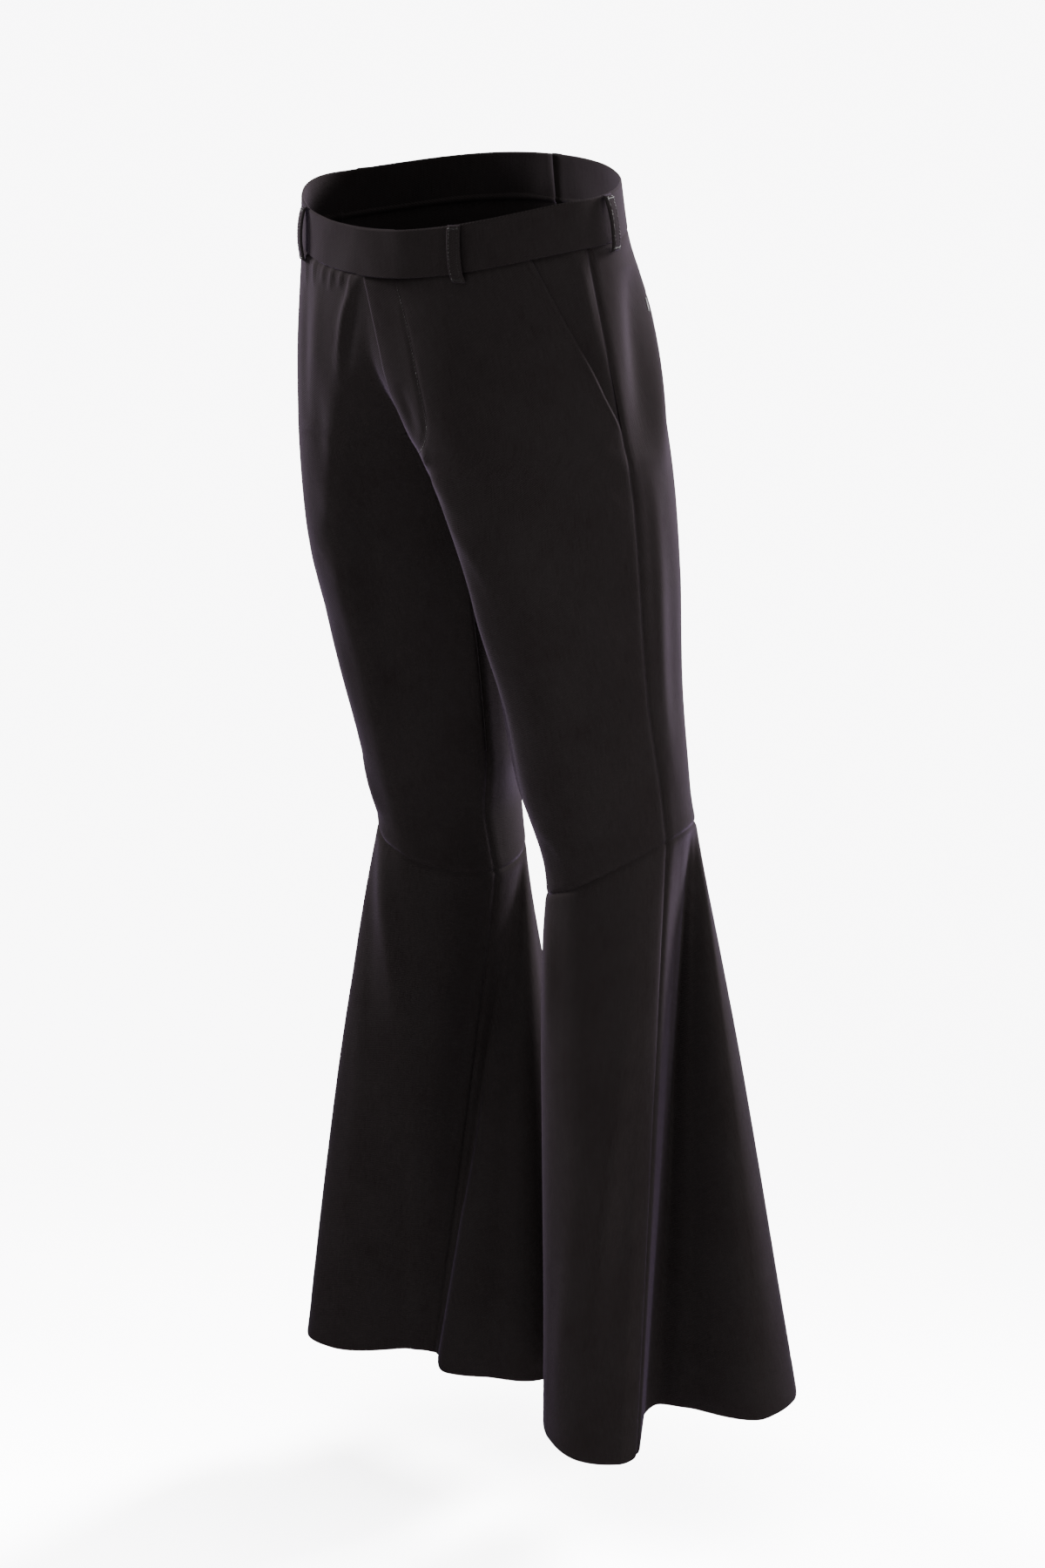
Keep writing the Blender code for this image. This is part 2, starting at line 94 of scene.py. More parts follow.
# each knee seam climbs by its slant towards the angle given. Threads of each flare: where they leave
# the knee seam and reach the hem, how far out, how far up the hem is lifted there, and how much they
# swell on the way
legs = {
    "left": {
        "mirror": 1.0, "kneeSeam": 0.508, "slant": 0.026, "slantToward": 30.0, "hem": 0.970,
        "kneeAngle": (-180, -132, -84, -48, -14, 2, 15, 26, 40, 56, 68, 80, 98, 118, 148),
        "hemAngle": (-180, -132, -92, -68, -53, -46.5, -45.5, -34, -14, 6, 24, 50, 80, 110, 146),
        "reach": (0.080, 0.078, 0.107, 0.126, 0.128, 0.113, 0.064, 0.052, 0.068, 0.122, 0.126, 0.106,
                  0.082, 0.116, 0.080),
        "lift": (0.000, 0.004, 0.000, 0.000, 0.003, 0.006, 0.012, 0.016, 0.016, 0.016, 0.016, 0.016,
                 0.012, 0.006, 0.004),
        "swell": (0.000, 0.006, 0.002, 0.000, 0.000, -0.004, -0.012, -0.014, -0.004, 0.006, 0.006,
                  0.004, 0.000, 0.004, 0.000),
    },
    "right": {
        "mirror": -1.0, "kneeSeam": 0.532, "slant": 0.020, "slantToward": -4.0, "hem": 0.980,
        "kneeAngle": (-222, -214, -206, -190, -112, -62, -42, -14, 20, 52, 86, 112, 130),
        "hemAngle": (-160, -130, -106, -88, -70, -54, -42, -14, 20, 52, 88, 126, 162),
        "reach": (0.094, 0.080, 0.082, 0.067, 0.082, 0.144, 0.166, 0.124, 0.088, 0.120, 0.088, 0.102,
                  0.084),
        "lift": (0.000, 0.000, 0.000, 0.004, 0.004, 0.000, 0.000, 0.006, 0.012, 0.014, 0.010, 0.004,
                 0.002),
        "swell": (0.004, 0.000, -0.004, -0.006, 0.000, 0.004, 0.005, 0.000, -0.004, 0.004, -0.002,
                  -0.004, 0.000),
    },
}

# creases and soft folds, listed by side and surface: path of (angle, depth or share down
# the flare), width, height (below 0 is a trough)
folds = {
    ("right", "body"): (
        (((-88, 0.030), (-88, 0.046), (-88, 0.064), (-92, 0.096), (-98, 0.130)), 0.0046, 0.0028),
        (((-92, 0.056), (-94, 0.084), (-99, 0.118)), 0.0060, -0.0010),
        (((-56, 0.040), (-64, 0.080), (-74, 0.130), (-84, 0.180)), 0.008, -0.0013),
        (((-66, 0.034), (-72, 0.066), (-80, 0.110), (-90, 0.165)), 0.009, 0.0014),
        (((-80, 0.110), (-92, 0.165), (-102, 0.225)), 0.008, -0.0012),
        (((-152, 0.236), (-128, 0.247), (-112, 0.260), (-94, 0.276)), 0.011, -0.0026),
        (((-142, 0.212), (-120, 0.230), (-100, 0.246)), 0.010, 0.0016),
        (((-136, 0.262), (-119, 0.281), (-108, 0.306)), 0.010, 0.0020),
        (((-99, 0.120), (-104, 0.180), (-113, 0.245)), 0.014, 0.0016),
        (((-54, 0.030), (-56, 0.042), (-58, 0.060)), 0.0026, 0.0014),
        (((-63, 0.030), (-64, 0.041), (-66, 0.054)), 0.0024, 0.0015),
        (((-70, 0.030), (-71, 0.040), (-72, 0.050)), 0.0022, 0.0013),
        (((-75, 0.030), (-76, 0.040), (-77, 0.052)), 0.0020, 0.0014),
        (((-80, 0.030), (-81, 0.039), (-82, 0.048)), 0.0020, 0.0012),
        (((-85, 0.030), (-86, 0.040), (-87, 0.051)), 0.0020, 0.0012),
        (((-30, 0.150), (-40, 0.185), (-52, 0.225)), 0.014, 0.0015),
        (((-60, 0.330), (-78, 0.370), (-88, 0.430)), 0.016, 0.0014),
        (((14, 0.220), (12, 0.320), (13, 0.440)), 0.009, 0.0014),
        (((132, 0.268), (108, 0.290), (74, 0.300)), 0.012, -0.0028),
        (((140, 0.302), (112, 0.322), (88, 0.328)), 0.011, -0.0018),
        (((62, 0.140), (70, 0.190), (86, 0.235)), 0.016, 0.0016),
        (((52, 0.462), (84, 0.470), (112, 0.458)), 0.009, -0.0019),
        (((66, 0.486), (92, 0.491), (124, 0.482)), 0.008, -0.0014),
        (((-70, 0.460), (-73, 0.490), (-76, 0.512)), 0.009, 0.0022),
    ),
    ("right", "flare"): (
        (((-76, -0.03), (-84, 0.10), (-98, 0.26), (-106, 0.46)), 0.011, 0.0030),
        (((-58, 0.02), (-70, 0.20), (-80, 0.50)), 0.012, -0.0024),
        (((-172, 0.02), (-166, 0.20), (-158, 0.42), (-166, 0.70)), 0.020, -0.0040),
        (((-38, 0.30), (-40, 0.60), (-41, 0.95)), 0.016, 0.0016),
        (((38, 0.20), (40, 0.55), (40, 0.96)), 0.014, 0.0018),
        (((122, 0.25), (124, 0.60), (126, 0.97)), 0.014, 0.0020),
        (((72, 0.02), (76, 0.14), (80, 0.30)), 0.009, -0.0016),
    ),
    ("left", "body"): (
        (((25, 0.056), (22, 0.084), (19, 0.115), (14, 0.150), (9, 0.190)), 0.017, -0.0062),
        (((33, 0.044), (41, 0.084), (39, 0.120), (31, 0.160), (22, 0.205)), 0.012, 0.0042),
        (((-9, 0.030), (-7, 0.056), (-8, 0.090), (-8, 0.140)), 0.008, 0.0042),
        (((-100, 0.172), (-103, 0.182), (-108, 0.188)), 0.0036, 0.0016),
        (((-96, 0.120), (-99, 0.145), (-103, 0.168)), 0.0060, -0.0012),
        (((-106, 0.192), (-112, 0.198), (-118, 0.200)), 0.0030, -0.0010),
        (((-103, 0.192), (-100, 0.222), (-92, 0.252), (-82, 0.290)), 0.008, 0.0020),
        (((-94, 0.178), (-82, 0.206), (-72, 0.250)), 0.010, -0.0014),
        (((-108, 0.204), (-98, 0.226), (-90, 0.246)), 0.006, -0.0014),
        (((-23, 0.177), (-8, 0.186), (3, 0.197)), 0.008, 0.0015),
        (((-36, 0.150), (-19, 0.158), (-7, 0.168)), 0.009, -0.0012),
        (((-30, 0.204), (-15, 0.214), (-3, 0.232)), 0.008, 0.0011),
        (((12, 0.200), (12, 0.264), (10, 0.360), (10, 0.474)), 0.008, 0.0016),
        (((24, 0.250), (23, 0.330), (22, 0.430)), 0.010, -0.0012),
        (((-102, 0.452), (-88, 0.468), (-77, 0.496)), 0.007, 0.0014),
        (((-70, 0.470), (-62, 0.486), (-56, 0.500)), 0.006, -0.0008),
        (((124, 0.262), (102, 0.284), (66, 0.290)), 0.012, -0.0026),
        (((132, 0.300), (104, 0.318), (78, 0.322)), 0.011, -0.0017),
        (((58, 0.150), (64, 0.200), (80, 0.245)), 0.015, 0.0017),
        (((60, 0.454), (88, 0.463), (120, 0.452)), 0.009, -0.0020),
        (((72, 0.478), (96, 0.485), (116, 0.478)), 0.008, -0.0015),
        (((-50, 0.300), (-64, 0.350), (-70, 0.420)), 0.016, 0.0011),
    ),
    ("left", "flare"): (
        (((-22, 0.20), (-26, 0.36), (-36, 0.52), (-40, 0.68), (-47, 0.86)), 0.010, 0.0042),
        (((-9, 0.36), (-18, 0.60), (-28, 0.88)), 0.013, -0.0020),
        (((-60, 0.50), (-66, 0.75), (-70, 0.98)), 0.014, 0.0018),
        (((-101, 0.05), (-99, 0.14), (-98, 0.27)), 0.010, 0.0020),
        (((-18, 0.04), (-25, 0.14), (-24, 0.23)), 0.014, 0.0015),
        (((54, 0.30), (58, 0.62), (60, 0.98)), 0.016, 0.0018),
        (((104, 0.10), (112, 0.40), (116, 0.80)), 0.014, 0.0022),
        (((76, 0.03), (82, 0.16), (88, 0.34)), 0.010, -0.0016),
    ),
}

# sharp lines in the cloth, in the same form
tucks = {
    (side, "body"): [
        (((54.5, 0.033), (55.0, 0.060), (55.0, 0.084)), 0.0013, -0.0007),      # back dart
        (((35.5, 0.0835), (55.0, 0.0815), (74.5, 0.0795)), 0.0012, -0.0009),   # slit above the welt
    ]
    for side in legs
}
flyRow = ((-78, 0.0360), (-80, 0.0660), (-84, 0.1020), (-88, 0.1320), (-91, 0.1520), (-95, 0.1640),
          (-101, 0.1735), (-110, 0.1790))
tucks["left", "body"].append((flyRow, 0.0019, -0.0009))


def ease(value):
    value = np.clip(value, 0.0, 1.0)
    return value * value * (3.0 - 2.0 * value)


def steadyCurve(places, values, at):
    # smooth curve through values at rising places that never overshoots them
    places, values = np.asarray(places, float), np.asarray(values, float)
    at = np.clip(at, places[0], places[-1])
    gaps = np.diff(places)
    rise = np.diff(values) / gaps
    share = (1 + gaps[1:] / (gaps[:-1] + gaps[1:])) / 3
    mean = rise[:-1] + (rise[1:] - rise[:-1]) * share
    together = rise[:-1] * rise[1:] > 0
    slopes = np.empty(len(places))
    slopes[0], slopes[-1] = rise[0], rise[-1]
    slopes[1:-1] = np.where(together, rise[:-1] * rise[1:] / np.where(together, mean, 1.0), 0.0)
    i = np.clip(np.searchsorted(places, at) - 1, 0, len(places) - 2)
    s = (at - places[i]) / gaps[i]
    return (values[i] * (1 + 2 * s) * (1 - s) ** 2 + values[i + 1] * s * s * (3 - 2 * s)
            + gaps[i] * (slopes[i] * s * (1 - s) ** 2 - slopes[i + 1] * s * s * (1 - s)))


def planSize(name, depth):
    return steadyCurve(plan["depth"], plan[name], depth)


def power(value, exponent):
    return np.sign(value) * np.abs(value) ** exponent


def innerReach(depth, back):
    # where the half's plan would close: past the centre above the crotch, at the inseam below
    up = np.clip((cut["crotchDepth"] - depth) / (cut["crotchDepth"] - cut["bandHeight"]), 0.0, 1.0)
    even = np.where(back, seatRise["back"][0], seatRise["front"][0])
    exponent = np.where(back, seatRise["back"][1], seatRise["front"][1])
    share = even * up + (1 - even) * up ** exponent
    inner = planSize("inner", depth)
    return inner + (-planSize("outer", depth) - inner) * share


def squareness(angle, depth):
    # the groin is rounder or more pointed than the rest of the plan
    share = ease((-90.0 - angle) / cut["groinTurn"])
    return cut["planPower"] + (planSize("groin", depth) - cut["planPower"]) * share


def planX(angle, depth):
    outer, inner = planSize("outer", depth), innerReach(depth, angle > 0)
    across = power(np.cos(np.radians(angle)), 2 / squareness(angle, depth))
    exponent = np.where(angle < -90, 2.0, cut["crestOutside"])
    crest = planSize("crest", depth) * np.abs(np.sin(np.radians(angle))) ** exponent
    return (outer + inner) / 2 + (outer - inner) / 2 * across + np.where(angle > 0, 0.0, crest)


def endAngle(depth, back):
    # angle at which the half meets the centre, or the inseam below the crotch
    sign = 1.0 if back else -1.0
    low, high = np.zeros_like(depth, float), np.full_like(depth, 180.0, float)
    for _ in range(cut["halvings"]):
        middle = (low + high) / 2
        outside = planX(sign * middle, depth) > 0.0
        low, high = np.where(outside, middle, low), np.where(outside, high, middle)
    return high


def bodyPoint(angle, depth):
    angle, depth = np.broadcast_arrays(np.asarray(angle, float), np.asarray(depth, float))
    angle = (angle + 180) % 360 - 180
    back = angle > 0
    cosine, sine = np.cos(np.radians(angle)), np.sin(np.radians(angle))
    seam, fork = planSize("seam", depth), planSize("fork", depth)
    level = (seam + fork) / 2
    reach = np.where(back, planSize("back", depth) - level, level - planSize("front", depth))
    y = seam + (fork - seam) * (1 - cosine) / 2 + reach * power(sine, 2 / squareness(angle, depth))
    tilt = np.where(back, cut["backRise"], -cut["frontDip"])
    fade = 1 - ease((depth - cut["bandHeight"]) / (cut["dipEnds"] - cut["bandHeight"]))
    return np.stack([planX(angle, depth), y, -depth + tilt * sine * sine * fade], -1)


def legPoint(leg, angle, depth):
    share = ease((depth - cut["crotchDepth"]) / (leg["kneeSeam"] - cut["crotchDepth"]))
    slant = leg["slant"] * np.cos(np.radians(angle - leg["slantToward"]))
    return bodyPoint(angle, depth - slant * share)


def flareSize(leg, name, angle):
    values, angles = [], []
    for turn in (-360, 0, 360):
        grows = turn if name == "hemAngle" else 0
        values += [value + grows for value in leg[name]]
        angles += [value + turn for value in leg["kneeAngle"]]
    return steadyCurve(angles, values, angle)


def flarePoint(leg, angle, share):
    angle, share = np.broadcast_arrays(np.asarray(angle, float), np.asarray(share, float))
    turn = np.radians(flareSize(leg, "hemAngle", angle))
    out = np.stack([np.cos(turn), np.sin(turn), np.zeros_like(turn)], -1)
    height = flareSize(leg, "lift", angle) - leg["hem"]
    centre = np.stack([np.full_like(turn, cut["flareCentre"][0]),
                       np.full_like(turn, cut["flareCentre"][1]), height], -1)
    hem = centre + out * flareSize(leg, "reach", angle)[..., None]
    knee = legPoint(leg, angle, np.full_like(angle, leg["kneeSeam"]))
    swell = flareSize(leg, "swell", angle) * np.sin(math.pi * np.clip(share, 0, 1) ** cut["swellHigh"])
    return knee + (hem - knee) * share[..., None] + out * swell[..., None]


def unit(vectors):
    return vectors / np.maximum(np.linalg.norm(vectors, axis=-1, keepdims=True), 1e-12)


def levelled(vectors):
    return unit(vectors * np.array([1.0, 1.0, 0.0]))


def mirrored(vectors, mirror):
    return vectors * np.array([mirror, 1.0, 1.0])


def normalOf(surface, angle, down, angleStep=0.05, downStep=0.0004):
    across = surface(angle + angleStep, down) - surface(angle - angleStep, down)
    fall = surface(angle, down + downStep) - surface(angle, down - downStep)
    return unit(np.cross(fall, across))


def surfaceOf(leg, on):
    point = legPoint if on == "body" else flarePoint
    return lambda angle, down: point(leg, angle, down)


def graded(count, dense=0.75):
    # shares from 0 to 1, closer together at both ends
    t = np.linspace(0.0, 1.0, count)
    return t - dense * np.sin(2 * math.pi * t) / (2 * math.pi)


# relief: soft folds, seams, rolled edges and the slight unevenness of worn cloth
relief = {
    "waveHeight": 0.00022,       # slow unevenness of the cloth, with its waves' directions and starts
    "waves": ((31, 12, 9, 0.4), (-17, 38, 14, 1.9), (9, -23, 27, 3.1), (44, 21, -8, 5.0),
              (-12, 9, 47, 2.2)),
    "ditchDepth": 0.0011,        # how far the cloth dips into a seam
    "ditchWidth": 0.0019,
    "flankHeight": 0.00022,      # seam allowance showing through beside it
    "flankPlace": 0.0065,
    "flankWidth": 0.0040,
    "foldRoll": 0.0006,          # how far a folded edge rolls in
    "foldWidth": 0.0013,
    "lipHeight": 0.0009,         # pressed edge of the pocket's mouth
    "lipPlace": 0.0026,
    "lipWidth": 0.0022,
    "foldSteps": 14,             # places on a fold's path
    "foldReach": 2.6,            # widths to each side over which it is felt
    "foldTaper": 0.8,
}


def pathPoints(leg, on, path):
    at = np.linspace(0.0, len(path) - 1.0, relief["foldSteps"])
    knots = np.arange(len(path))
    angle = np.interp(at, knots, [place[0] for place in path])
    down = np.interp(at, knots, [place[1] for place in path])
    for _ in range(2):     # rounds the corners
        angle[1:-1] = (angle[:-2] + 2 * angle[1:-1] + angle[2:]) / 4
        down[1:-1] = (down[:-2] + 2 * down[1:-1] + down[2:]) / 4
    return surfaceOf(leg, on)(angle, down)


def foldRelief(points, side, *tables):
    # height of all folds of one side at these points, by distance from each fold's path
    flat = points.reshape(-1, 3)
    total = np.zeros(len(flat))
    placed = [(on, *fold) for table in tables for on in ("body", "flare")
              for fold in table.get((side, on), ())]
    for on, path, width, height in placed:
        line = pathPoints(legs[side], on, path)
        margin = relief["foldReach"] * width
        inside = (flat > line.min(0) - margin) & (flat < line.max(0) + margin)
        near = np.nonzero(np.all(inside, axis=1))[0]
        if not len(near):
            continue
        here = flat[near][:, None, :]
        start, run = line[:-1][None], np.diff(line, axis=0)[None]
        share = np.clip(((here - start) * run).sum(-1) / (run * run).sum(-1), 0, 1)
        gap = np.linalg.norm(here - start - run * share[..., None], axis=-1)
        best = gap.argmin(1)
        rows = np.arange(len(near))
        along = (best + share[rows, best]) / (len(line) - 1)
        taper = np.sin(math.pi * np.clip(along, 0, 1)) ** relief["foldTaper"]
        total[near] += height * taper * np.exp(-(gap[rows, best] / width) ** 2)
    return total.reshape(points.shape[:-1])


def slowWaves(points):
    total = sum(np.sin(points @ np.array(wave[:3], float) + wave[3]) for wave in relief["waves"])
    return total / len(relief["waves"]) * relief["waveHeight"]


def sewn(distance):
    ditch = np.exp(-(distance / relief["ditchWidth"]) ** 2)
    flank = np.exp(-((distance - relief["flankPlace"]) / relief["flankWidth"]) ** 2)
    return relief["flankHeight"] * flank - relief["ditchDepth"] * ditch


def rolled(distance):
    return -relief["foldRoll"] * np.exp(-(distance / relief["foldWidth"]) ** 2)


def runs(points):
    # lengths along the rows from the left and right edge, and down the columns from top and bottom
    across = np.linalg.norm(np.diff(points, axis=1), axis=-1)
    left = np.concatenate([np.zeros((len(points), 1)), np.cumsum(across, axis=1)], axis=1)
    fall = np.linalg.norm(np.diff(points, axis=0), axis=-1)
    top = np.concatenate([np.zeros((1, points.shape[1])), np.cumsum(fall, axis=0)], axis=0)
    return left, left[:, -1:] - left, top, top[-1:] - top


def gridNormals(points):
    across = np.gradient(points, axis=1)
    fall = np.gradient(points, axis=0)
    return unit(np.cross(fall, across))


def shellMesh(name, outer, thick, mirror, rims, normals=None):
    # closed shell: outer and inner wall, with each edge rounded by the size given for its rim
    rows, columns = outer.shape[:2]
    if normals is None:
        normals = gridNormals(outer)
    thick = np.broadcast_to(thick, outer.shape[:2])
    inner = outer - normals * thick[..., None]
    left, right, top, bottom = [rims.get(each, 0.0) for each in ("left", "right", "top", "bottom")]
    edges = [(outer[:, 0], outer[:, 1], inner[:, 0], left),
             (outer[:, -1], outer[:, -2], inner[:, -1], right),
             (outer[0], outer[1], inner[0], top),
             (outer[-1], outer[-2], inner[-1], bottom)]
    rounded = [(edge + low) / 2 + unit(edge - within) * size for edge, within, low, size in edges]
    points = np.concatenate([outer.reshape(-1, 3), inner.reshape(-1, 3)] + rounded)
    grid = np.arange(rows * columns).reshape(rows, columns)
    below = grid + rows * columns
    starts = np.cumsum([2 * rows * columns, rows, rows, columns])
    rimLeft, rimRight = [np.arange(rows) + start for start in starts[:2]]
    rimTop, rimBottom = [np.arange(columns) + start for start in starts[2:]]

    def strip(first, second):
        return np.stack([first[:-1], second[:-1], second[1:], first[1:]], -1).reshape(-1, 4)

    def quads(each):
        return np.stack([each[:-1, :-1], each[1:, :-1], each[1:, 1:], each[:-1, 1:]], -1).reshape(-1, 4)

    faces = [
        quads(grid), quads(below)[:, ::-1],
        strip(rimLeft, grid[:, 0])[:, ::-1], strip(below[:, 0], rimLeft)[:, ::-1],
        strip(grid[:, -1], rimRight)[:, ::-1], strip(rimRight, below[:, -1])[:, ::-1],
        strip(rimTop, grid[0]), strip(below[0], rimTop),
        strip(grid[-1], rimBottom), strip(rimBottom, below[-1]),
    ]
    corners = [(grid[0, 0], rimTop[0], below[0, 0], rimLeft[0]),
               (grid[0, -1], rimRight[0], below[0, -1], rimTop[-1]),
               (grid[-1, 0], rimLeft[-1], below[-1, 0], rimBottom[0]),
               (grid[-1, -1], rimBottom[-1], below[-1, -1], rimRight[-1])]
    faces = np.concatenate(faces + [np.array(corners)])
    points = mirrored(points, mirror)
    if mirror < 0:
        faces = faces[:, ::-1]
    mesh = bpy.data.meshes.new(name)
    mesh.from_pydata(points.tolist(), [], faces.tolist())
    fromLeft, _, fromTop, _ = runs(outer)
    middle = fromLeft[:, columns // 2][:, None]
    threads = np.stack([(fromLeft - middle) * mirror, -fromTop], -1)
    threads = np.concatenate([threads.reshape(-1, 2)] * 2
                             + [threads[:, 0], threads[:, -1], threads[0], threads[-1]])
    layer = mesh.uv_layers.new(name="threads")
    layer.data.foreach_set("uv", threads[faces.reshape(-1)].astype(np.float32).reshape(-1))
    return mesh


def addObject(name, data):
    made = bpy.data.objects.new(name, data)
    bpy.context.scene.collection.objects.link(made)
    return made


def evaluatedMesh(piece):
    bpy.context.view_layer.update()
    graph = bpy.context.evaluated_depsgraph_get()
    return bpy.data.meshes.new_from_object(piece.evaluated_get(graph))


def addPiece(name, mesh, finish, creaseAngle=50):
    mesh.validate()
    mesh.shade_smooth()
    mesh.set_sharp_from_angle(angle=math.radians(creaseAngle))
    mesh.materials.append(finish)
    return addObject(name, mesh)


def linear(hexColour):
    channels = [int(hexColour[k:k + 2], 16) / 255 for k in (1, 3, 5)]
    return [c / 12.92 if c <= 0.04045 else ((c + 0.055) / 1.055) ** 2.4 for c in channels] + [1.0]


def addNode(tree, kind, settings=None, links=None):
    made = tree.nodes.new(kind)
    for name, value in (settings or {}).items():
        if isinstance(name, str) and hasattr(made, name):
            setattr(made, name, value)
        else:
            made.inputs[name].default_value = value
    for name, source in (links or {}).items():
        tree.links.new(source, made.inputs[name])
    return made


toMillimetres = (1000, 1000, 1000)


def emptyMaterial(name):
    finish = bpy.data.materials.new(name)
    finish.use_nodes = True
    finish.node_tree.nodes.clear()
    return finish, finish.node_tree


twill = {
    "dark": "#020101", "light": "#070606",     # black with a warm grey cast in the lit threads
    "ribSpacing": 1.3,       # mm; real suiting has 0.6, drawn coarser so that it shows at all
    "ribAngle": 62.0,        # steep, as on a wool gabardine
    "ribShare": 0.45,        # of the fibres' height
    "fibreLength": 16.0, "fibreWidth": 0.7,    # mm
    "cloudSize": 55.0, "cloudShare": 0.35,     # mm, slow change of tone from pressing and handling
    "darkAt": 0.35, "lightAt": 1.25 / 1.3,
    "roughness": (0.74 - 0.05, 0.74 + 0.06),
    "sheen": 0.027, "sheenRoughness": 0.30, "sheenTint": "#a08ab0",
    "bump": 0.55, "bumpHeight": 0.00025,       # m
}


def makeTwill(name, values):
    # wool-blend suiting in a fine twill: mat, with raised diagonal ribs and a soft bloom at the edges
    finish, tree = emptyMaterial(name)
    place = addNode(tree, "ShaderNodeTexCoord")
    threads = addNode(tree, "ShaderNodeMapping", {"Scale": toMillimetres},
                      {"Vector": place.outputs["UV"]})
    turned = addNode(tree, "ShaderNodeMapping", {"Rotation": (0, 0, math.radians(values["ribAngle"]))},
                     {"Vector": threads.outputs[0]})
    ribs = addNode(tree, "ShaderNodeTexWave",
                   {"wave_type": "BANDS", "bands_direction": "X", "wave_profile": "SIN",
                    "Scale": math.pi / 10 / values["ribSpacing"], "Distortion": 0.6, "Detail": 1.0,
                    "Detail Scale": 0.6},
                   {"Vector": turned.outputs[0]})
    fibreScale = (1 / values["fibreWidth"], 1 / values["fibreLength"], 1)
    stretched = addNode(tree, "ShaderNodeMapping", {"Scale": fibreScale},
                        {"Vector": threads.outputs[0]})
    fibres = addNode(tree, "ShaderNodeTexNoise", {"Scale": 1.0, "Detail": 3.0, "Roughness": 0.6},
                     {"Vector": stretched.outputs[0]})
    clouds = addNode(tree, "ShaderNodeTexNoise", {"Scale": 1 / values["cloudSize"], "Detail": 2.0},
                     {"Vector": threads.outputs[0]})
    weave = addNode(tree, "ShaderNodeMath", {"operation": "MULTIPLY_ADD", 1: values["ribShare"]},
                    {0: ribs.outputs["Fac"], 2: fibres.outputs["Fac"]})
    tone = addNode(tree, "ShaderNodeMath", {"operation": "MULTIPLY_ADD", 1: values["cloudShare"]},
                   {0: clouds.outputs["Fac"], 2: weave.outputs[0]})
    shades = addNode(tree, "ShaderNodeValToRGB", {}, {"Fac": tone.outputs[0]})
    for stop, tint in zip(shades.color_ramp.elements, ("dark", "light")):
        stop.position, stop.color = values[tint + "At"], linear(values[tint])
    low, high = values["roughness"]
    rough = addNode(tree, "ShaderNodeMapRange",
                    {"From Min": 0.3, "From Max": 0.7, "To Min": low, "To Max": high},
                    {"Value": clouds.outputs["Fac"]})
    bump = addNode(tree, "ShaderNodeBump",
                   {"Strength": values["bump"], "Distance": values["bumpHeight"]},
                   {"Height": weave.outputs[0]})
    shader = addNode(tree, "ShaderNodeBsdfPrincipled",
                     {"Specular IOR Level": 0.0, "Sheen Weight": values["sheen"],
                      "Sheen Roughness": values["sheenRoughness"],
                      "Sheen Tint": linear(values["sheenTint"])},
                     {"Base Color": shades.outputs["Color"], "Roughness": rough.outputs["Result"],
                      "Normal": bump.outputs["Normal"]})
    addNode(tree, "ShaderNodeOutputMaterial", {}, {"Surface": shader.outputs[0]})
    return finish


thread = {
    "colour": "#060505", "roughness": 0.60, "gloss": 0.02,
    "plySpacing": 0.35,      # mm
    "bump": 0.3, "bumpHeight": 0.0001,
}


def makeThread(name, values):
    # spun polyester sewing thread: a little glossier than the cloth, its ply showing as fine bands
    finish, tree = emptyMaterial(name)
    place = addNode(tree, "ShaderNodeTexCoord")
    sized = addNode(tree, "ShaderNodeMapping", {"Scale": toMillimetres},
                    {"Vector": place.outputs["Object"]})
    ply = addNode(tree, "ShaderNodeTexWave", {"bands_direction": "DIAGONAL",
                                              "Scale": math.pi / 10 / values["plySpacing"]},
                  {"Vector": sized.outputs[0]})
    bump = addNode(tree, "ShaderNodeBump",
                   {"Strength": values["bump"], "Distance": values["bumpHeight"]},
                   {"Height": ply.outputs["Fac"]})
    shader = addNode(tree, "ShaderNodeBsdfPrincipled",
                     {"Base Color": linear(values["colour"]), "Roughness": values["roughness"],
                      "Specular IOR Level": values["gloss"]},
                     {"Normal": bump.outputs["Normal"]})
    addNode(tree, "ShaderNodeOutputMaterial", {}, {"Surface": shader.outputs[0]})
    return finish


buttonFinish = {"dark": "#020202", "light": "#0a0909", "roughness": 0.45, "gloss": 0.06,
                "swirl": 2.5}     # mm


def makePolyester(name, values):
    # cast polyester button: half gloss, with a faint horn-like swirl under the surface
    finish, tree = emptyMaterial(name)
    place = addNode(tree, "ShaderNodeTexCoord")
    sized = addNode(tree, "ShaderNodeMapping", {"Scale": toMillimetres},
                    {"Vector": place.outputs["Object"]})
    swirl = addNode(tree, "ShaderNodeTexNoise",
                    {"Scale": 1 / values["swirl"], "Detail": 3.0, "Distortion": 1.5},
                    {"Vector": sized.outputs[0]})
    shades = addNode(tree, "ShaderNodeValToRGB", {}, {"Fac": swirl.outputs["Fac"]})
    for stop, tint in zip(shades.color_ramp.elements, ("dark", "light")):
        stop.color = linear(values[tint])
    shader = addNode(tree, "ShaderNodeBsdfPrincipled",
                     {"Roughness": values["roughness"], "Specular IOR Level": values["gloss"]},
                     {"Base Color": shades.outputs["Color"]})
    addNode(tree, "ShaderNodeOutputMaterial", {}, {"Surface": shader.outputs[0]})
    return finish


twillSuiting = makeTwill("twill_suiting", twill)
spunThread = makeThread("spun_polyester_thread", thread)
castButton = makePolyester("cast_polyester_button", buttonFinish)
print("materials made")

panel = {
    "columns": 104, "rows": 190,
    "kneeBlend": 0.03,       # length over which the cloth turns level towards the knee seam
    "frontCut": ((0.29, 0.53), 0.106),     # flat width and length, and area of the cut
    "backCut": ((0.33, 0.53), 0.125),
}
pieces, walls = [], {}


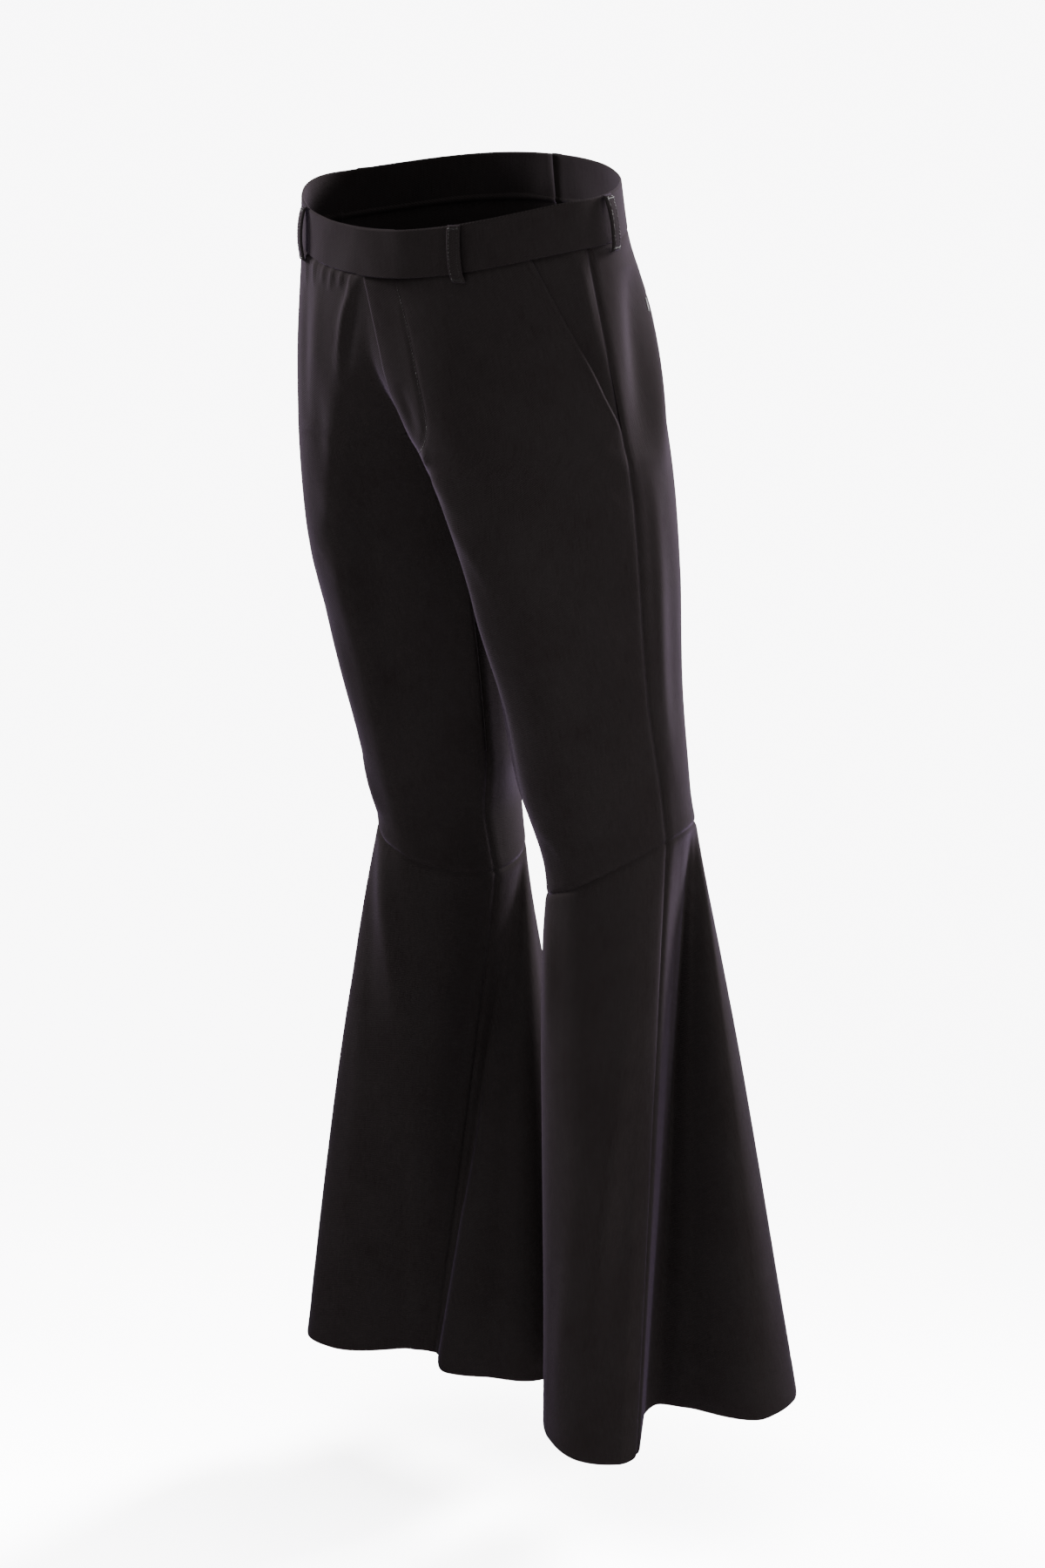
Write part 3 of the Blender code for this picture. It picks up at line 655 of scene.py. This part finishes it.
def clothPiece(node, outer, thick, mirror, rims, flat, area=None, held="hung", restsOn=(),
               normals=None):
    walls[node] = shellMesh(node, outer, thick, mirror, rims, normals)
    pieces.append({"piece": addPiece(node + "_cloth", walls[node], twillSuiting), "node": node,
                   "flat": flat, "area": area, "held": held, "restsOn": list(restsOn)})


def clothNormals(leg, on, angles, down, near):
    # true normals, turned level near the knee seam, where thigh and flare share them
    knee = levelled(normalOf(surfaceOf(leg, "body"), angles, np.full(angles.shape, leg["kneeSeam"])))
    return unit(normalOf(surfaceOf(leg, on), angles, down) * (1 - near) + knee * near)


def panelSheet(side, angles, depths):
    # plain surface on a grid of angles and depths, its normals and the height of the folds on it
    leg = legs[side]
    base = legPoint(leg, angles, depths)
    near = ease(1 - (leg["kneeSeam"] - depths) / panel["kneeBlend"])[..., None]
    height = foldRelief(base, side, folds, tucks) + slowWaves(mirrored(base, leg["mirror"]))
    return base, clothNormals(leg, "body", angles, depths, near), height


def mouthAngle(depth):
    share = (depth - cut["bandHeight"]) / (cut["pocketBottom"] - cut["bandHeight"])
    return cut["pocketTopAngle"] * np.maximum(0.0, 1.0 - share)


def panelDepths(leg):
    top = cut["bandHeight"] - cut["tuckIn"]
    return top + (leg["kneeSeam"] - top) * graded(panel["rows"], 0.6)


front = {
    "coverEnds": 0.02,       # length over which the fly's lap runs out
    "mouthEnds": 0.008,      # length over which the pocket's mouth closes
    "underBlend": 5.0,       # degrees over which the right front takes up the left one's folds
    "valleyPasses": 6, "valleySpread": 0.85,
    "flyRim": 0.0005, "mouthRim": 0.0004,
}


def eased(values, past):
    # rounds the valley where the right front crosses the centre
    passes = front["valleyPasses"]
    near = np.zeros(past.shape)
    near[:, 1:] = past[:, 1:] != past[:, :-1]
    for _ in range(2 * passes):
        spread = front["valleySpread"] * np.maximum(near[:, 2:], near[:, :-2])
        near[:, 1:-1] = np.maximum(near[:, 1:-1], spread)
    near = near[..., None] * past.any(1)[:, None, None]
    for _ in range(passes):
        middle = (values[:, :-2] + 2 * values[:, 1:-1] + values[:, 2:]) / 4
        middle = values[:, 1:-1] * (1 - near[:, 1:-1]) + middle * near[:, 1:-1]
        values = np.concatenate([values[:, :1], middle, values[:, -1:]], 1)
    return values


def makeFront(side):
    leg = legs[side]
    depth = panelDepths(leg)[:, None]
    covered = ease((cut["flyEnd"] - depth) / front["coverEnds"])
    centre = -endAngle(depth, False)
    flyCut = steadyCurve(cut["flyDepth"], cut["flyCut"], depth)
    start = centre + flyCut if side == "left" else centre - (flyCut + cut["flyUnder"]) * covered
    angles = start + (mouthAngle(depth) - start) * graded(panel["columns"])[None]
    depths = np.broadcast_to(depth, angles.shape)
    past = angles < centre     # there the right front lies on the left half's form
    folded = np.where(past, 2 * centre - angles, angles)
    base, normals, height = panelSheet(side, folded, depths)
    flip = np.where(past[..., None], np.array([-1.0, 1.0, 1.0]), 1.0)
    base, normals = base * flip, normals * flip
    if side == "right":
        share = ease((centre - angles) / front["underBlend"])
        own, under = foldRelief(base, "right", folds), foldRelief(mirrored(base, -1.0), "left", folds)
        height = np.where(past, own * (1 - share) + under * share + slowWaves(base), height)
        base, normals = eased(base, past), unit(eased(normals, past))
    fromLeft, fromRight, fromTop, fromBottom = runs(base)
    mouthOpen = 1 - ease((depth - cut["pocketBottom"] + front["mouthEnds"]) / front["mouthEnds"])
    lip = relief["lipHeight"] * np.exp(-((fromRight - relief["lipPlace"]) / relief["lipWidth"]) ** 2)
    height = height + (rolled(fromRight) + lip) * mouthOpen + sewn(fromRight) * (1 - mouthOpen)
    height = height + sewn(fromTop - cut["tuckIn"]) + sewn(fromBottom)
    if side == "left":
        height = height + rolled(fromLeft) * covered + sewn(fromLeft) * (1 - covered)
        forward = cut["flyLift"] * covered * (1 - ease(fromLeft / cut["flyEase"]))
        base = base + np.array([0.0, -1.0, 0.0]) * forward[..., None]
    else:
        height = height + sewn(fromLeft) * (1 - covered)
    rims = {"left": front["flyRim"] if side == "left" else 0.0, "right": front["mouthRim"]}
    clothPiece("front_" + side, base + normals * height[..., None], cut["wall"], leg["mirror"], rims,
               *panel["frontCut"], restsOn=["waistband_" + side])


def makeBack(side):
    leg = legs[side]
    depth = panelDepths(leg)[:, None]
    angles = endAngle(depth, True) * graded(panel["columns"])[None]
    depths = np.broadcast_to(depth, angles.shape)
    base, normals, height = panelSheet(side, angles, depths)
    fromLeft, fromRight, fromTop, fromBottom = runs(base)
    height = height + sewn(fromLeft) + sewn(fromRight) + sewn(fromTop - cut["tuckIn"]) + sewn(fromBottom)
    clothPiece("back_" + side, base + normals * height[..., None], cut["wall"], leg["mirror"], {},
               *panel["backCut"], restsOn=["waistband_" + side])


bearer = {
    "columns": 48, "rows": 90, "wall": 0.0012, "pastMouth": 0.012,
    "levelFrom": 0.1, "levelOver": 0.9,      # share of the opening over which it comes level
    "levelWide": 12.0,                       # degrees of opening above which it does so in full
    "cut": ((0.075, 0.150), 0.0068),
}


def makeBearer(side):
    leg = legs[side]
    top, bottom = cut["bandHeight"] - cut["tuckIn"], cut["pocketBottom"] + bearer["pastMouth"]
    depth = np.linspace(top, bottom, bearer["rows"])[:, None]
    start = mouthAngle(depth) - cut["pocketUnder"]
    angles = start + (0.0 - start) * graded(bearer["columns"])[None]
    depths = np.broadcast_to(depth, angles.shape)
    base, normals, height = panelSheet(side, angles, depths)
    _, fromRight, fromTop, _ = runs(base)
    mouth = -mouthAngle(depths)
    openShare = (angles - mouthAngle(depths)) / np.maximum(mouth, 0.1)
    level = ease((openShare - bearer["levelFrom"]) / bearer["levelOver"])
    level = level * ease(mouth / bearer["levelWide"])
    height = height * level - cut["pocketSink"] * (1 - level)
    height = height + sewn(fromTop - cut["tuckIn"]) + sewn(fromRight)
    clothPiece("pocket_bearer_" + side, base + normals * height[..., None], bearer["wall"],
               leg["mirror"], {}, *bearer["cut"], restsOn=["front_" + side])


flare = {
    "columns": 140, "rows": 130,
    "turnUp": 0.030, "turnUpStep": 0.0015, "extraWall": 0.0008,
    "printDepth": 0.00018, "printWidth": 0.0016,     # the turn-up's edge showing through
    "rim": 0.0007,
    "kneeBlend": 0.06,       # share of the flare over which it turns away from the knee seam's level
    "lineSteps": 600, "hemShare": 0.40, "kneeShare": 0.55,     # lengths that space the columns evenly
    "cuts": {   # flat width at the hem and length, and area of the fan-shaped cut
        "flare_front_left": ((0.34, 0.48), 0.106), "flare_back_left": ((0.52, 0.50), 0.165),
        "flare_front_right": ((0.36, 0.48), 0.116), "flare_back_right": ((0.50, 0.50), 0.160),
    },
}


def makeFlare(side, face):
    leg = legs[side]
    start, end = (-180.0, 0.0) if face == "front" else (0.0, 180.0)
    fine = np.linspace(start, end, flare["lineSteps"])
    along = np.zeros(len(fine))
    for share, length in ((1.0, flare["hemShare"]), (0.0, flare["kneeShare"])):
        steps = np.linalg.norm(np.diff(flarePoint(leg, fine, share), axis=0), axis=1)
        along = along + np.concatenate([[0.0], np.cumsum(steps)]) / length
    angles = np.interp(graded(flare["columns"], 0.6) * along[-1], along, fine)[None]
    shares = graded(flare["rows"], 0.6)[:, None]
    angles, shares = np.broadcast_arrays(angles, shares)
    base = flarePoint(leg, angles, shares)
    near = ease(1 - shares / flare["kneeBlend"])[..., None]
    normals = clothNormals(leg, "flare", angles, shares, near)
    height = foldRelief(base, side, folds) + slowWaves(mirrored(base, leg["mirror"]))
    fromLeft, fromRight, fromTop, fromBottom = runs(base)
    height = height + sewn(fromLeft) + sewn(fromRight) + sewn(fromTop) + rolled(fromBottom)
    pastTurnUp = fromBottom - flare["turnUp"]
    height = height - flare["printDepth"] * np.exp(-(np.abs(pastTurnUp) / flare["printWidth"]) ** 2)
    thick = cut["wall"] + flare["extraWall"] * (1 - ease(pastTurnUp / flare["turnUpStep"] + 0.5))
    name = "flare_%s_%s" % (face, side)
    clothPiece(name, base + normals * height[..., None], thick, leg["mirror"], {"bottom": flare["rim"]},
               *flare["cuts"][name], restsOn=["%s_%s" % (face, side)])


for side in legs:
    makeFront(side)
    makeBack(side)
    makeBearer(side)
    makeFlare(side, "front")
    makeFlare(side, "back")
    print("panels of the", side, "half made")

band = {
    "columns": 150, "rows": 26, "topGap": 0.0008, "endGaps": 0.0014, "lapGap": 0.0003, "inset": 0.0004,
    "rims": {"top": 0.0011, "bottom": 0.0008, "left": 0.0008},
    "wobble": 0.00035,       # slight waves of the pressed band
    "cuts": {"left": (0.42, 0.036), "right": (0.45, 0.036)},
}


def makeBand(side):
    leg = legs[side]
    centre = -float(endAngle(cut["bandHeight"], False))
    start = centre - (cut["bandLap"] if side == "left" else cut["bandUnderlap"])
    end = float(endAngle(cut["bandHeight"], True))
    angles = start + (end - start) * graded(band["columns"], 0.6)[None]
    depths = (band["topGap"] + (cut["bandHeight"] - band["endGaps"]) * graded(band["rows"]))[:, None]
    angles, depths = np.broadcast_arrays(angles, depths)
    base = bodyPoint(angles, depths)
    normals = levelled(normalOf(bodyPoint, angles, np.maximum(depths, 0.0005)))
    lift = np.full(angles.shape, cut["bandProud"])
    if side == "left":
        past = angles - (centre + cut["bandUnderlap"] + 1.0)
        lift = lift + (cut["bandWall"] + band["lapGap"]) * (1 - ease(past / cut["bandEase"]))
    arc = base[..., 0] * 61 + base[..., 1] * 47
    lift = lift + band["wobble"] * (np.sin(arc) * 0.6 + np.sin(arc * 2.3 + base[..., 2] * 90) * 0.4)
    _, fromRight, _, _ = runs(base)
    lift = lift + sewn(fromRight)
    clothPiece("waistband_" + side, base + normals * lift[..., None], cut["bandWall"] - band["inset"],
               leg["mirror"], band["rims"], band["cuts"][side],
               restsOn=["front_" + side, "back_" + side], normals=normals)


loops = {
    "angles": {"front": -54.0, "back": 13.0},
    "width": 0.0100, "thick": 0.0016, "proud": 0.0038, "pastBand": 0.006, "off": 0.00045,
    "crown": 0.00035, "lean": 0.0008, "edgeDrop": 0.0004, "inset": 0.0003, "columns": 17, "rows": 46,
    "rims": {"left": 0.0003, "right": 0.0003, "top": 0.0004, "bottom": 0.0004},
    "rowPlace": 0.32, "tackReach": 0.42,     # shares of the width, from the middle
    "cut": (0.0105, 0.043),
}


def loopFrame(angle, share):
    # middle of the loop's strip, its outward and its sideways direction; no angle is the centre back
    depth = (cut["bandHeight"] + loops["pastBand"]) * share
    angle = endAngle(depth, True) if angle is None else np.full(depth.shape, angle)
    point = bodyPoint(angle, depth)
    normal = levelled(normalOf(bodyPoint, angle, np.maximum(depth, 0.001)))
    side = np.stack([-normal[..., 1], normal[..., 0], np.zeros_like(normal[..., 0])], -1)
    spring = np.sin(math.pi * np.clip(share, 0, 1)) ** 0.5
    lift = cut["bandProud"] + loops["off"] + loops["proud"] * spring
    return point + normal * lift[..., None], normal, side


def makeLoop(name, angle, mirror):
    across = (graded(loops["columns"]) - 0.5)[None]
    share = np.linspace(0.0, 1.0, loops["rows"])[:, None]
    across, share = np.broadcast_arrays(across, share)
    middle, normal, side = loopFrame(angle, share)
    crown = loops["crown"] * (1 - (2 * across) ** 2) - loops["edgeDrop"] * np.abs(2 * across) ** 12
    aside = across * loops["width"] + loops["lean"] * (share - 0.5)
    outer = middle + normal * (loops["thick"] + crown)[..., None] + side * aside[..., None]
    clothPiece(name, outer, loops["thick"] - loops["inset"], mirror, loops["rims"], loops["cut"],
               held="folded", restsOn=["waistband_left", "waistband_right"], normals=normal)


welt = {
    "depth": 0.082, "height": 0.010, "angles": (36.0, 74.0), "slant": 0.004, "wall": 0.0012,
    "off": 0.0003, "crown": 0.00035, "columns": 80, "rows": 22,
    "rims": {"left": 0.0003, "right": 0.0003, "top": 0.0005, "bottom": 0.0005},
    "cut": (0.082, 0.0105),
}


def weltPoint(leg, across, down):
    depth = welt["depth"] + welt["slant"] * (0.5 - across) + welt["height"] * down
    return legPoint(leg, welt["angles"][0] + (welt["angles"][1] - welt["angles"][0]) * across, depth)


def makeWelt(side):
    leg = legs[side]
    across, down = np.broadcast_arrays(graded(welt["columns"])[None], graded(welt["rows"])[:, None])
    base = weltPoint(leg, across, down)
    normals = levelled(gridNormals(base))
    crown = welt["crown"] * (1 - (2 * down - 1) ** 2)
    height = welt["wall"] + welt["off"] + crown + slowWaves(base) * 0.5
    clothPiece("back_welt_" + side, base + normals * height[..., None], welt["wall"], leg["mirror"],
               welt["rims"], welt["cut"], held="folded", restsOn=["back_" + side], normals=normals)


for side, leg in legs.items():
    makeBand(side)
    makeWelt(side)
    for place, angle in loops["angles"].items():
        makeLoop("belt_loop_%s_%s" % (place, side), angle, leg["mirror"])
makeLoop("belt_loop_centre_back", None, 1.0)
print("waistband, loops and welts made")

button = {
    "angle": 55.0, "belowWelt": 0.009, "radius": 0.0055, "thick": 0.0025, "off": 0.0008,
    "holeRadius": 0.00075, "holePlace": 0.0014, "holeSides": 20,
    "drillMiddle": 0.001, "drillLength": 0.006,
    "well": 0.62,            # height of the sunk middle, as a share of the thickness
    "sides": 56, "creaseAngle": 35,
    "profile": ((0.0, 0.62), (0.42, 0.62), (0.58, 0.72), (0.70, 0.95), (0.80, 1.0), (0.90, 0.97),
                (0.98, 0.80), (1.0, 0.55), (0.97, 0.28), (0.88, 0.06), (0.60, 0.0), (0.0, 0.0)),
}


def solidOfTurn(profile, radius, height, sides):
    shape = bmesh.new()
    rings = []
    for reach, up in profile:
        if reach == 0.0:
            rings.append([shape.verts.new((0, 0, up * height))])
            continue
        turns = [2 * math.pi * k / sides for k in range(sides)]
        rings.append([shape.verts.new((reach * radius * math.cos(t), reach * radius * math.sin(t),
                                       up * height)) for t in turns])
    for first, second in zip(rings, rings[1:]):
        for k in range(sides):
            n = (k + 1) % sides
            corners = [first[k % len(first)], first[n % len(first)],
                       second[n % len(second)], second[k % len(second)]]
            shape.faces.new(list(dict.fromkeys(corners)))     # a ring of one point gives triangles
    bmesh.ops.recalc_face_normals(shape, faces=shape.faces)
    return shape


def makeButton(side):
    leg = legs[side]
    shape = solidOfTurn(button["profile"], button["radius"], button["thick"], button["sides"])
    mesh = bpy.data.meshes.new("button")
    shape.to_mesh(mesh)
    shape.free()
    drill = bmesh.new()
    for k in range(4):
        turn, out = math.radians(45 + 90 * k), button["holePlace"]
        where = Matrix.Translation((out * math.cos(turn), out * math.sin(turn), button["drillMiddle"]))
        bmesh.ops.create_cone(drill, cap_ends=True, segments=button["holeSides"],
                              radius1=button["holeRadius"], radius2=button["holeRadius"],
                              depth=button["drillLength"], matrix=where)
    drillMesh = bpy.data.meshes.new("drill")
    drill.to_mesh(drillMesh)
    drill.free()
    blank, tool = addObject("blank", mesh), addObject("drill", drillMesh)
    bore = blank.modifiers.new("bore", "BOOLEAN")
    bore.object, bore.operation, bore.solver = tool, "DIFFERENCE", "EXACT"
    drilled = evaluatedMesh(blank)
    for each in (blank, tool):
        bpy.data.objects.remove(each)
    depth = welt["depth"] + welt["height"] + button["belowWelt"]
    foot = Vector(mirrored(bodyPoint(button["angle"], depth), leg["mirror"]))
    normal = Vector(mirrored(normalOf(bodyPoint, button["angle"], np.float64(depth)), leg["mirror"]))
    turned = normal.to_track_quat("Z", "Y").to_matrix().to_4x4()
    drilled.transform(Matrix.Translation(foot + normal * button["off"]) @ turned)
    piece = addPiece("back_button_%s_cast" % side, drilled, castButton, button["creaseAngle"])
    return piece, foot, normal, turned


buttons = {side: makeButton(side) for side in legs}
print("buttons made")

stitch = {
    "row": {"Spacing": 0.0024, "Length": 0.0019, "Width": 0.00042},
    "tack": {"Spacing": 0.00055, "Length": 0.0016, "Width": 0.0005},
    "hold": {"Spacing": 0.0003, "Length": 0.0008, "Width": 0.0006},     # in the buttons
    "holdFoot": 0.0002, "holdArch": 0.0004,
    "above": 0.0001, "aboveLoop": 0.00005,
    "dropFrom": 0.012, "dropReach": 0.02,
}
trees = {name: BVHTree.FromPolygons([tuple(v.co) for v in mesh.vertices],
                                    [tuple(p.vertices) for p in mesh.polygons])
         for name, mesh in walls.items()}


def onCloth(names, points, normals, mirror, above):
    # drops points onto the first of the named pieces they meet, from outside
    found = []
    for point, normal in zip(points, normals):
        point, normal = Vector(mirrored(point, mirror)), Vector(mirrored(normal, mirror))
        start, best = point + normal * stitch["dropFrom"], None
        for name in names:
            hit, _, _, reach = trees[name].ray_cast(start, -normal, stitch["dropReach"])
            if hit is not None and (best is None or reach < best[0]):
                best = (reach, hit)
        found.append(best[1] + normal * above if best else point)
    return found


rows, tacks = [], []
at = np.linspace(0, len(flyRow) - 1, 60)
angle, depth = [steadyCurve(np.arange(len(flyRow)), values, at) for values in zip(*flyRow)]
normals = normalOf(surfaceOf(legs["left"], "body"), angle, depth)
points = legPoint(legs["left"], angle, depth)
rows.append(onCloth(["front_left"], points, normals, 1.0, stitch["above"]))
for side, leg in legs.items():
    for across in (0.015, 0.985):     # ends of the back welts
        ends = [weltPoint(leg, np.float64(across), down) for down in np.linspace(0.05, 0.95, 8)]
        angle = welt["angles"][0] + (welt["angles"][1] - welt["angles"][0]) * across
        normal = normalOf(bodyPoint, angle, np.float64(welt["depth"]))
        tacks.append(onCloth(["back_welt_" + side, "back_" + side], ends, [normal] * 8, leg["mirror"],
                             stitch["above"]))


def loopRows(name, angle, mirror):
    share = np.linspace(0.03, 0.97, 40)
    middle, normal, side = loopFrame(angle, share)
    for edge in (-loops["rowPlace"], loops["rowPlace"]):
        places = middle + side * edge * loops["width"]
        rows.append(onCloth([name], places, normal, mirror, stitch["aboveLoop"]))
    for at in (0.06, 0.94):
        middle, normal, side = loopFrame(angle, np.full(9, at))
        across = np.linspace(-loops["tackReach"], loops["tackReach"], 9)
        places = middle + side * (across * loops["width"])[:, None]
        tacks.append(onCloth([name], places, normal, mirror, stitch["aboveLoop"]))


for side, leg in legs.items():
    for place, angle in loops["angles"].items():
        loopRows("belt_loop_%s_%s" % (place, side), angle, leg["mirror"])
loopRows("belt_loop_centre_back", None, 1.0)


def stitchTree():
    # sets one stitch on every step along the rows, lying along the row or across it
    tree = bpy.data.node_groups.new("stitchRow", "GeometryNodeTree")
    face = tree.interface
    face.new_socket("Geometry", in_out="INPUT", socket_type="NodeSocketGeometry")
    for name in ("Spacing", "Length", "Width"):
        face.new_socket(name, in_out="INPUT", socket_type="NodeSocketFloat")
    face.new_socket("Across", in_out="INPUT", socket_type="NodeSocketBool")
    face.new_socket("Finish", in_out="INPUT", socket_type="NodeSocketMaterial")
    face.new_socket("Geometry", in_out="OUTPUT", socket_type="NodeSocketGeometry")
    given = addNode(tree, "NodeGroupInput").outputs
    line = addNode(tree, "GeometryNodeMeshToCurve", {}, {"Mesh": given["Geometry"]})
    steps = addNode(tree, "GeometryNodeResampleCurve", {"mode": "LENGTH"},
                    {"Curve": line.outputs[0], "Length": given["Spacing"]})
    along = addNode(tree, "GeometryNodeInputTangent")
    up = addNode(tree, "GeometryNodeInputNamedAttribute", {"data_type": "FLOAT_VECTOR", "Name": "out"})
    crosswise = addNode(tree, "ShaderNodeVectorMath", {"operation": "CROSS_PRODUCT"},
                        {0: along.outputs[0], 1: up.outputs["Attribute"]})
    way = addNode(tree, "GeometryNodeSwitch", {"input_type": "VECTOR"},
                  {"Switch": given["Across"], "False": along.outputs[0], "True": crosswise.outputs[0]})
    turn = addNode(tree, "FunctionNodeAlignRotationToVector", {"axis": "X"}, {"Vector": way.outputs[0]})
    size = addNode(tree, "ShaderNodeCombineXYZ", {},
                   {"X": given["Length"], "Y": given["Width"], "Z": given["Width"]})
    ball = addNode(tree, "GeometryNodeMeshUVSphere", {"Segments": 8, "Rings": 6, "Radius": 0.5})
    placed = addNode(tree, "GeometryNodeInstanceOnPoints", {},
                     {"Points": steps.outputs[0], "Instance": ball.outputs["Mesh"],
                      "Rotation": turn.outputs[0], "Scale": size.outputs[0]})
    real = addNode(tree, "GeometryNodeRealizeInstances", {}, {"Geometry": placed.outputs[0]})
    painted = addNode(tree, "GeometryNodeSetMaterial", {},
                      {"Geometry": real.outputs[0], "Material": given["Finish"]})
    addNode(tree, "NodeGroupOutput", {}, {"Geometry": painted.outputs[0]})
    return tree


def sewRows(name, lines, values, across=False):
    mesh = bpy.data.meshes.new(name + "_rows")
    points = [tuple(p) for line in lines for p in line]
    edges, first = [], 0
    for line in lines:
        edges += [(first + k, first + k + 1) for k in range(len(line) - 1)]
        first += len(line)
    mesh.from_pydata(points, edges, [])
    outward = mesh.attributes.new("out", "FLOAT_VECTOR", "POINT")
    away = [unit(np.array(p) - np.array([0.0, 0.02, p[2]])) for p in points]
    outward.data.foreach_set("vector", np.array(away, np.float32).reshape(-1))
    carrier = addObject(name + "_rows", mesh)
    modifier = carrier.modifiers.new("stitches", "NODES")
    modifier.node_group = rowTree
    sockets = {item.name: item.identifier for item in rowTree.interface.items_tree
               if item.in_out == "INPUT"}
    for label, value in {**values, "Across": across, "Finish": spunThread}.items():
        modifier[sockets[label]] = value
    sewnMesh = evaluatedMesh(carrier)
    bpy.data.objects.remove(carrier)
    sewnMesh.shade_smooth()
    return addObject(name, sewnMesh)


rowTree = stitchTree()
stitching = [sewRows("stitching_rows", rows, stitch["row"]),
             sewRows("stitching_tacks", tacks, stitch["tack"], across=True)]

# thread that holds each button, crossing between its holes
holds = []
for side, (piece, foot, normal, turned) in buttons.items():
    for across in (math.radians(45), math.radians(135)):
        line = []
        for share in np.linspace(0, 1, 9):
            reach = button["holePlace"] * (1 - 2 * share)
            up = button["thick"] * button["well"] + stitch["holdFoot"]
            up += stitch["holdArch"] * math.sin(math.pi * share)
            flat = Vector((reach * math.cos(across), reach * math.sin(across), up))
            line.append(foot + normal * button["off"] + turned.to_3x3() @ flat)
        holds.append(line)
stitching.append(sewRows("stitching_buttons", holds, stitch["hold"]))
print("stitching made,", sum(len(piece.data.polygons) for piece in stitching), "faces")

# every piece goes to the frame
for each in pieces:
    piece = each["piece"]
    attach(piece, "root")
    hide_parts(each["node"])
for side, (piece, *_) in buttons.items():
    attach(piece, "root")
    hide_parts("back_button_" + side)
for piece in stitching:
    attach(piece, "root")

studio = {
    "floorDrop": 1.070, "floorSize": 60.0, "floorColour": "#f6f5f7",
    "zenithPower": 13.0, "horizonPower": 1.6,
    "lights": (   # name, place, aim, size, power, spread; their grids keep the light off the floor
        ("leftSoftbox", (-2.20, -0.45, 0.80), (-0.05, 0.0, -0.10), 0.8, 95.0, 28.0),
        ("rightSoftbox", (0.05, 2.38, 0.55), (0.05, 0.0, -0.12), 0.9, 270.0, 40.0),
        ("sideStrip", (2.20, 1.30, -0.15), (0.0, 0.0, -0.65), 0.6, 20.0, 50.0),
    ),
}
floorMesh = bpy.data.meshes.new("floor")
corners = [(-0.5, -0.5), (0.5, -0.5), (0.5, 0.5), (-0.5, 0.5)]
floorMesh.from_pydata([(x * studio["floorSize"], y * studio["floorSize"], -studio["floorDrop"])
                       for x, y in corners], [], [(0, 1, 2, 3)])
floorFinish, floorTree = emptyMaterial("matt_white_floor")
floorShader = addNode(floorTree, "ShaderNodeBsdfPrincipled",
                      {"Base Color": linear(studio["floorColour"]), "Roughness": 0.9,
                       "Specular IOR Level": 0.1})
addNode(floorTree, "ShaderNodeOutputMaterial", {}, {"Surface": floorShader.outputs[0]})
floorMesh.materials.append(floorFinish)
addObject("floor", floorMesh)

world = bpy.data.worlds.new("studio")
world.use_nodes = True
sky = world.node_tree
sky.nodes.clear()
way = addNode(sky, "ShaderNodeTexCoord")
height = addNode(sky, "ShaderNodeSeparateXYZ", {}, {"Vector": way.outputs["Generated"]})
skyPower = addNode(sky, "ShaderNodeMapRange",
                   {"interpolation_type": "SMOOTHSTEP", "From Min": 0.0, "From Max": 1.0,
                    "To Min": studio["horizonPower"], "To Max": studio["zenithPower"]},
                   {"Value": height.outputs["Z"]})
glow = addNode(sky, "ShaderNodeBackground", {"Color": (1, 1, 1, 1)},
               {"Strength": skyPower.outputs["Result"]})
addNode(sky, "ShaderNodeOutputWorld", {}, {"Surface": glow.outputs[0]})
bpy.context.scene.world = world

for name, place, aim, size, watts, spread in studio["lights"]:
    data = bpy.data.lights.new(name, "AREA")
    data.shape, data.size, data.energy = "SQUARE", size, watts
    data.spread = math.radians(spread)
    lamp = addObject(name, data)
    lamp.location = place
    lamp.rotation_euler = (Vector(aim) - Vector(place)).to_track_quat("-Z", "Y").to_euler()

view = {
    "place": (2.043, -1.680, 0.347), "forward": (-0.73091, 0.61693, -0.29183), "roll": -2.47,
    "focalPixels": 4122.0, "framePixels": 1800.0,
}
forward = Vector(view["forward"]).normalized()
levelRight = forward.cross(Vector((0, 0, 1))).normalized()
levelUp = levelRight.cross(forward)
turn = math.radians(view["roll"])
cameraRight = levelRight * math.cos(turn) + levelUp * math.sin(turn)
cameraUp = cameraRight.cross(forward)
lens = bpy.data.cameras.new("camera")
lens.sensor_fit, lens.sensor_width = "AUTO", 36.0
lens.lens = view["focalPixels"] / view["framePixels"] * 36.0
lens.clip_end = 200.0
camera = addObject("camera", lens)
camera.matrix_world = Matrix.Translation(view["place"]) @ Matrix(
    [list(row) for row in zip(cameraRight, cameraUp, -forward)]).to_4x4()
bpy.context.scene.camera = camera
print("studio and camera made")
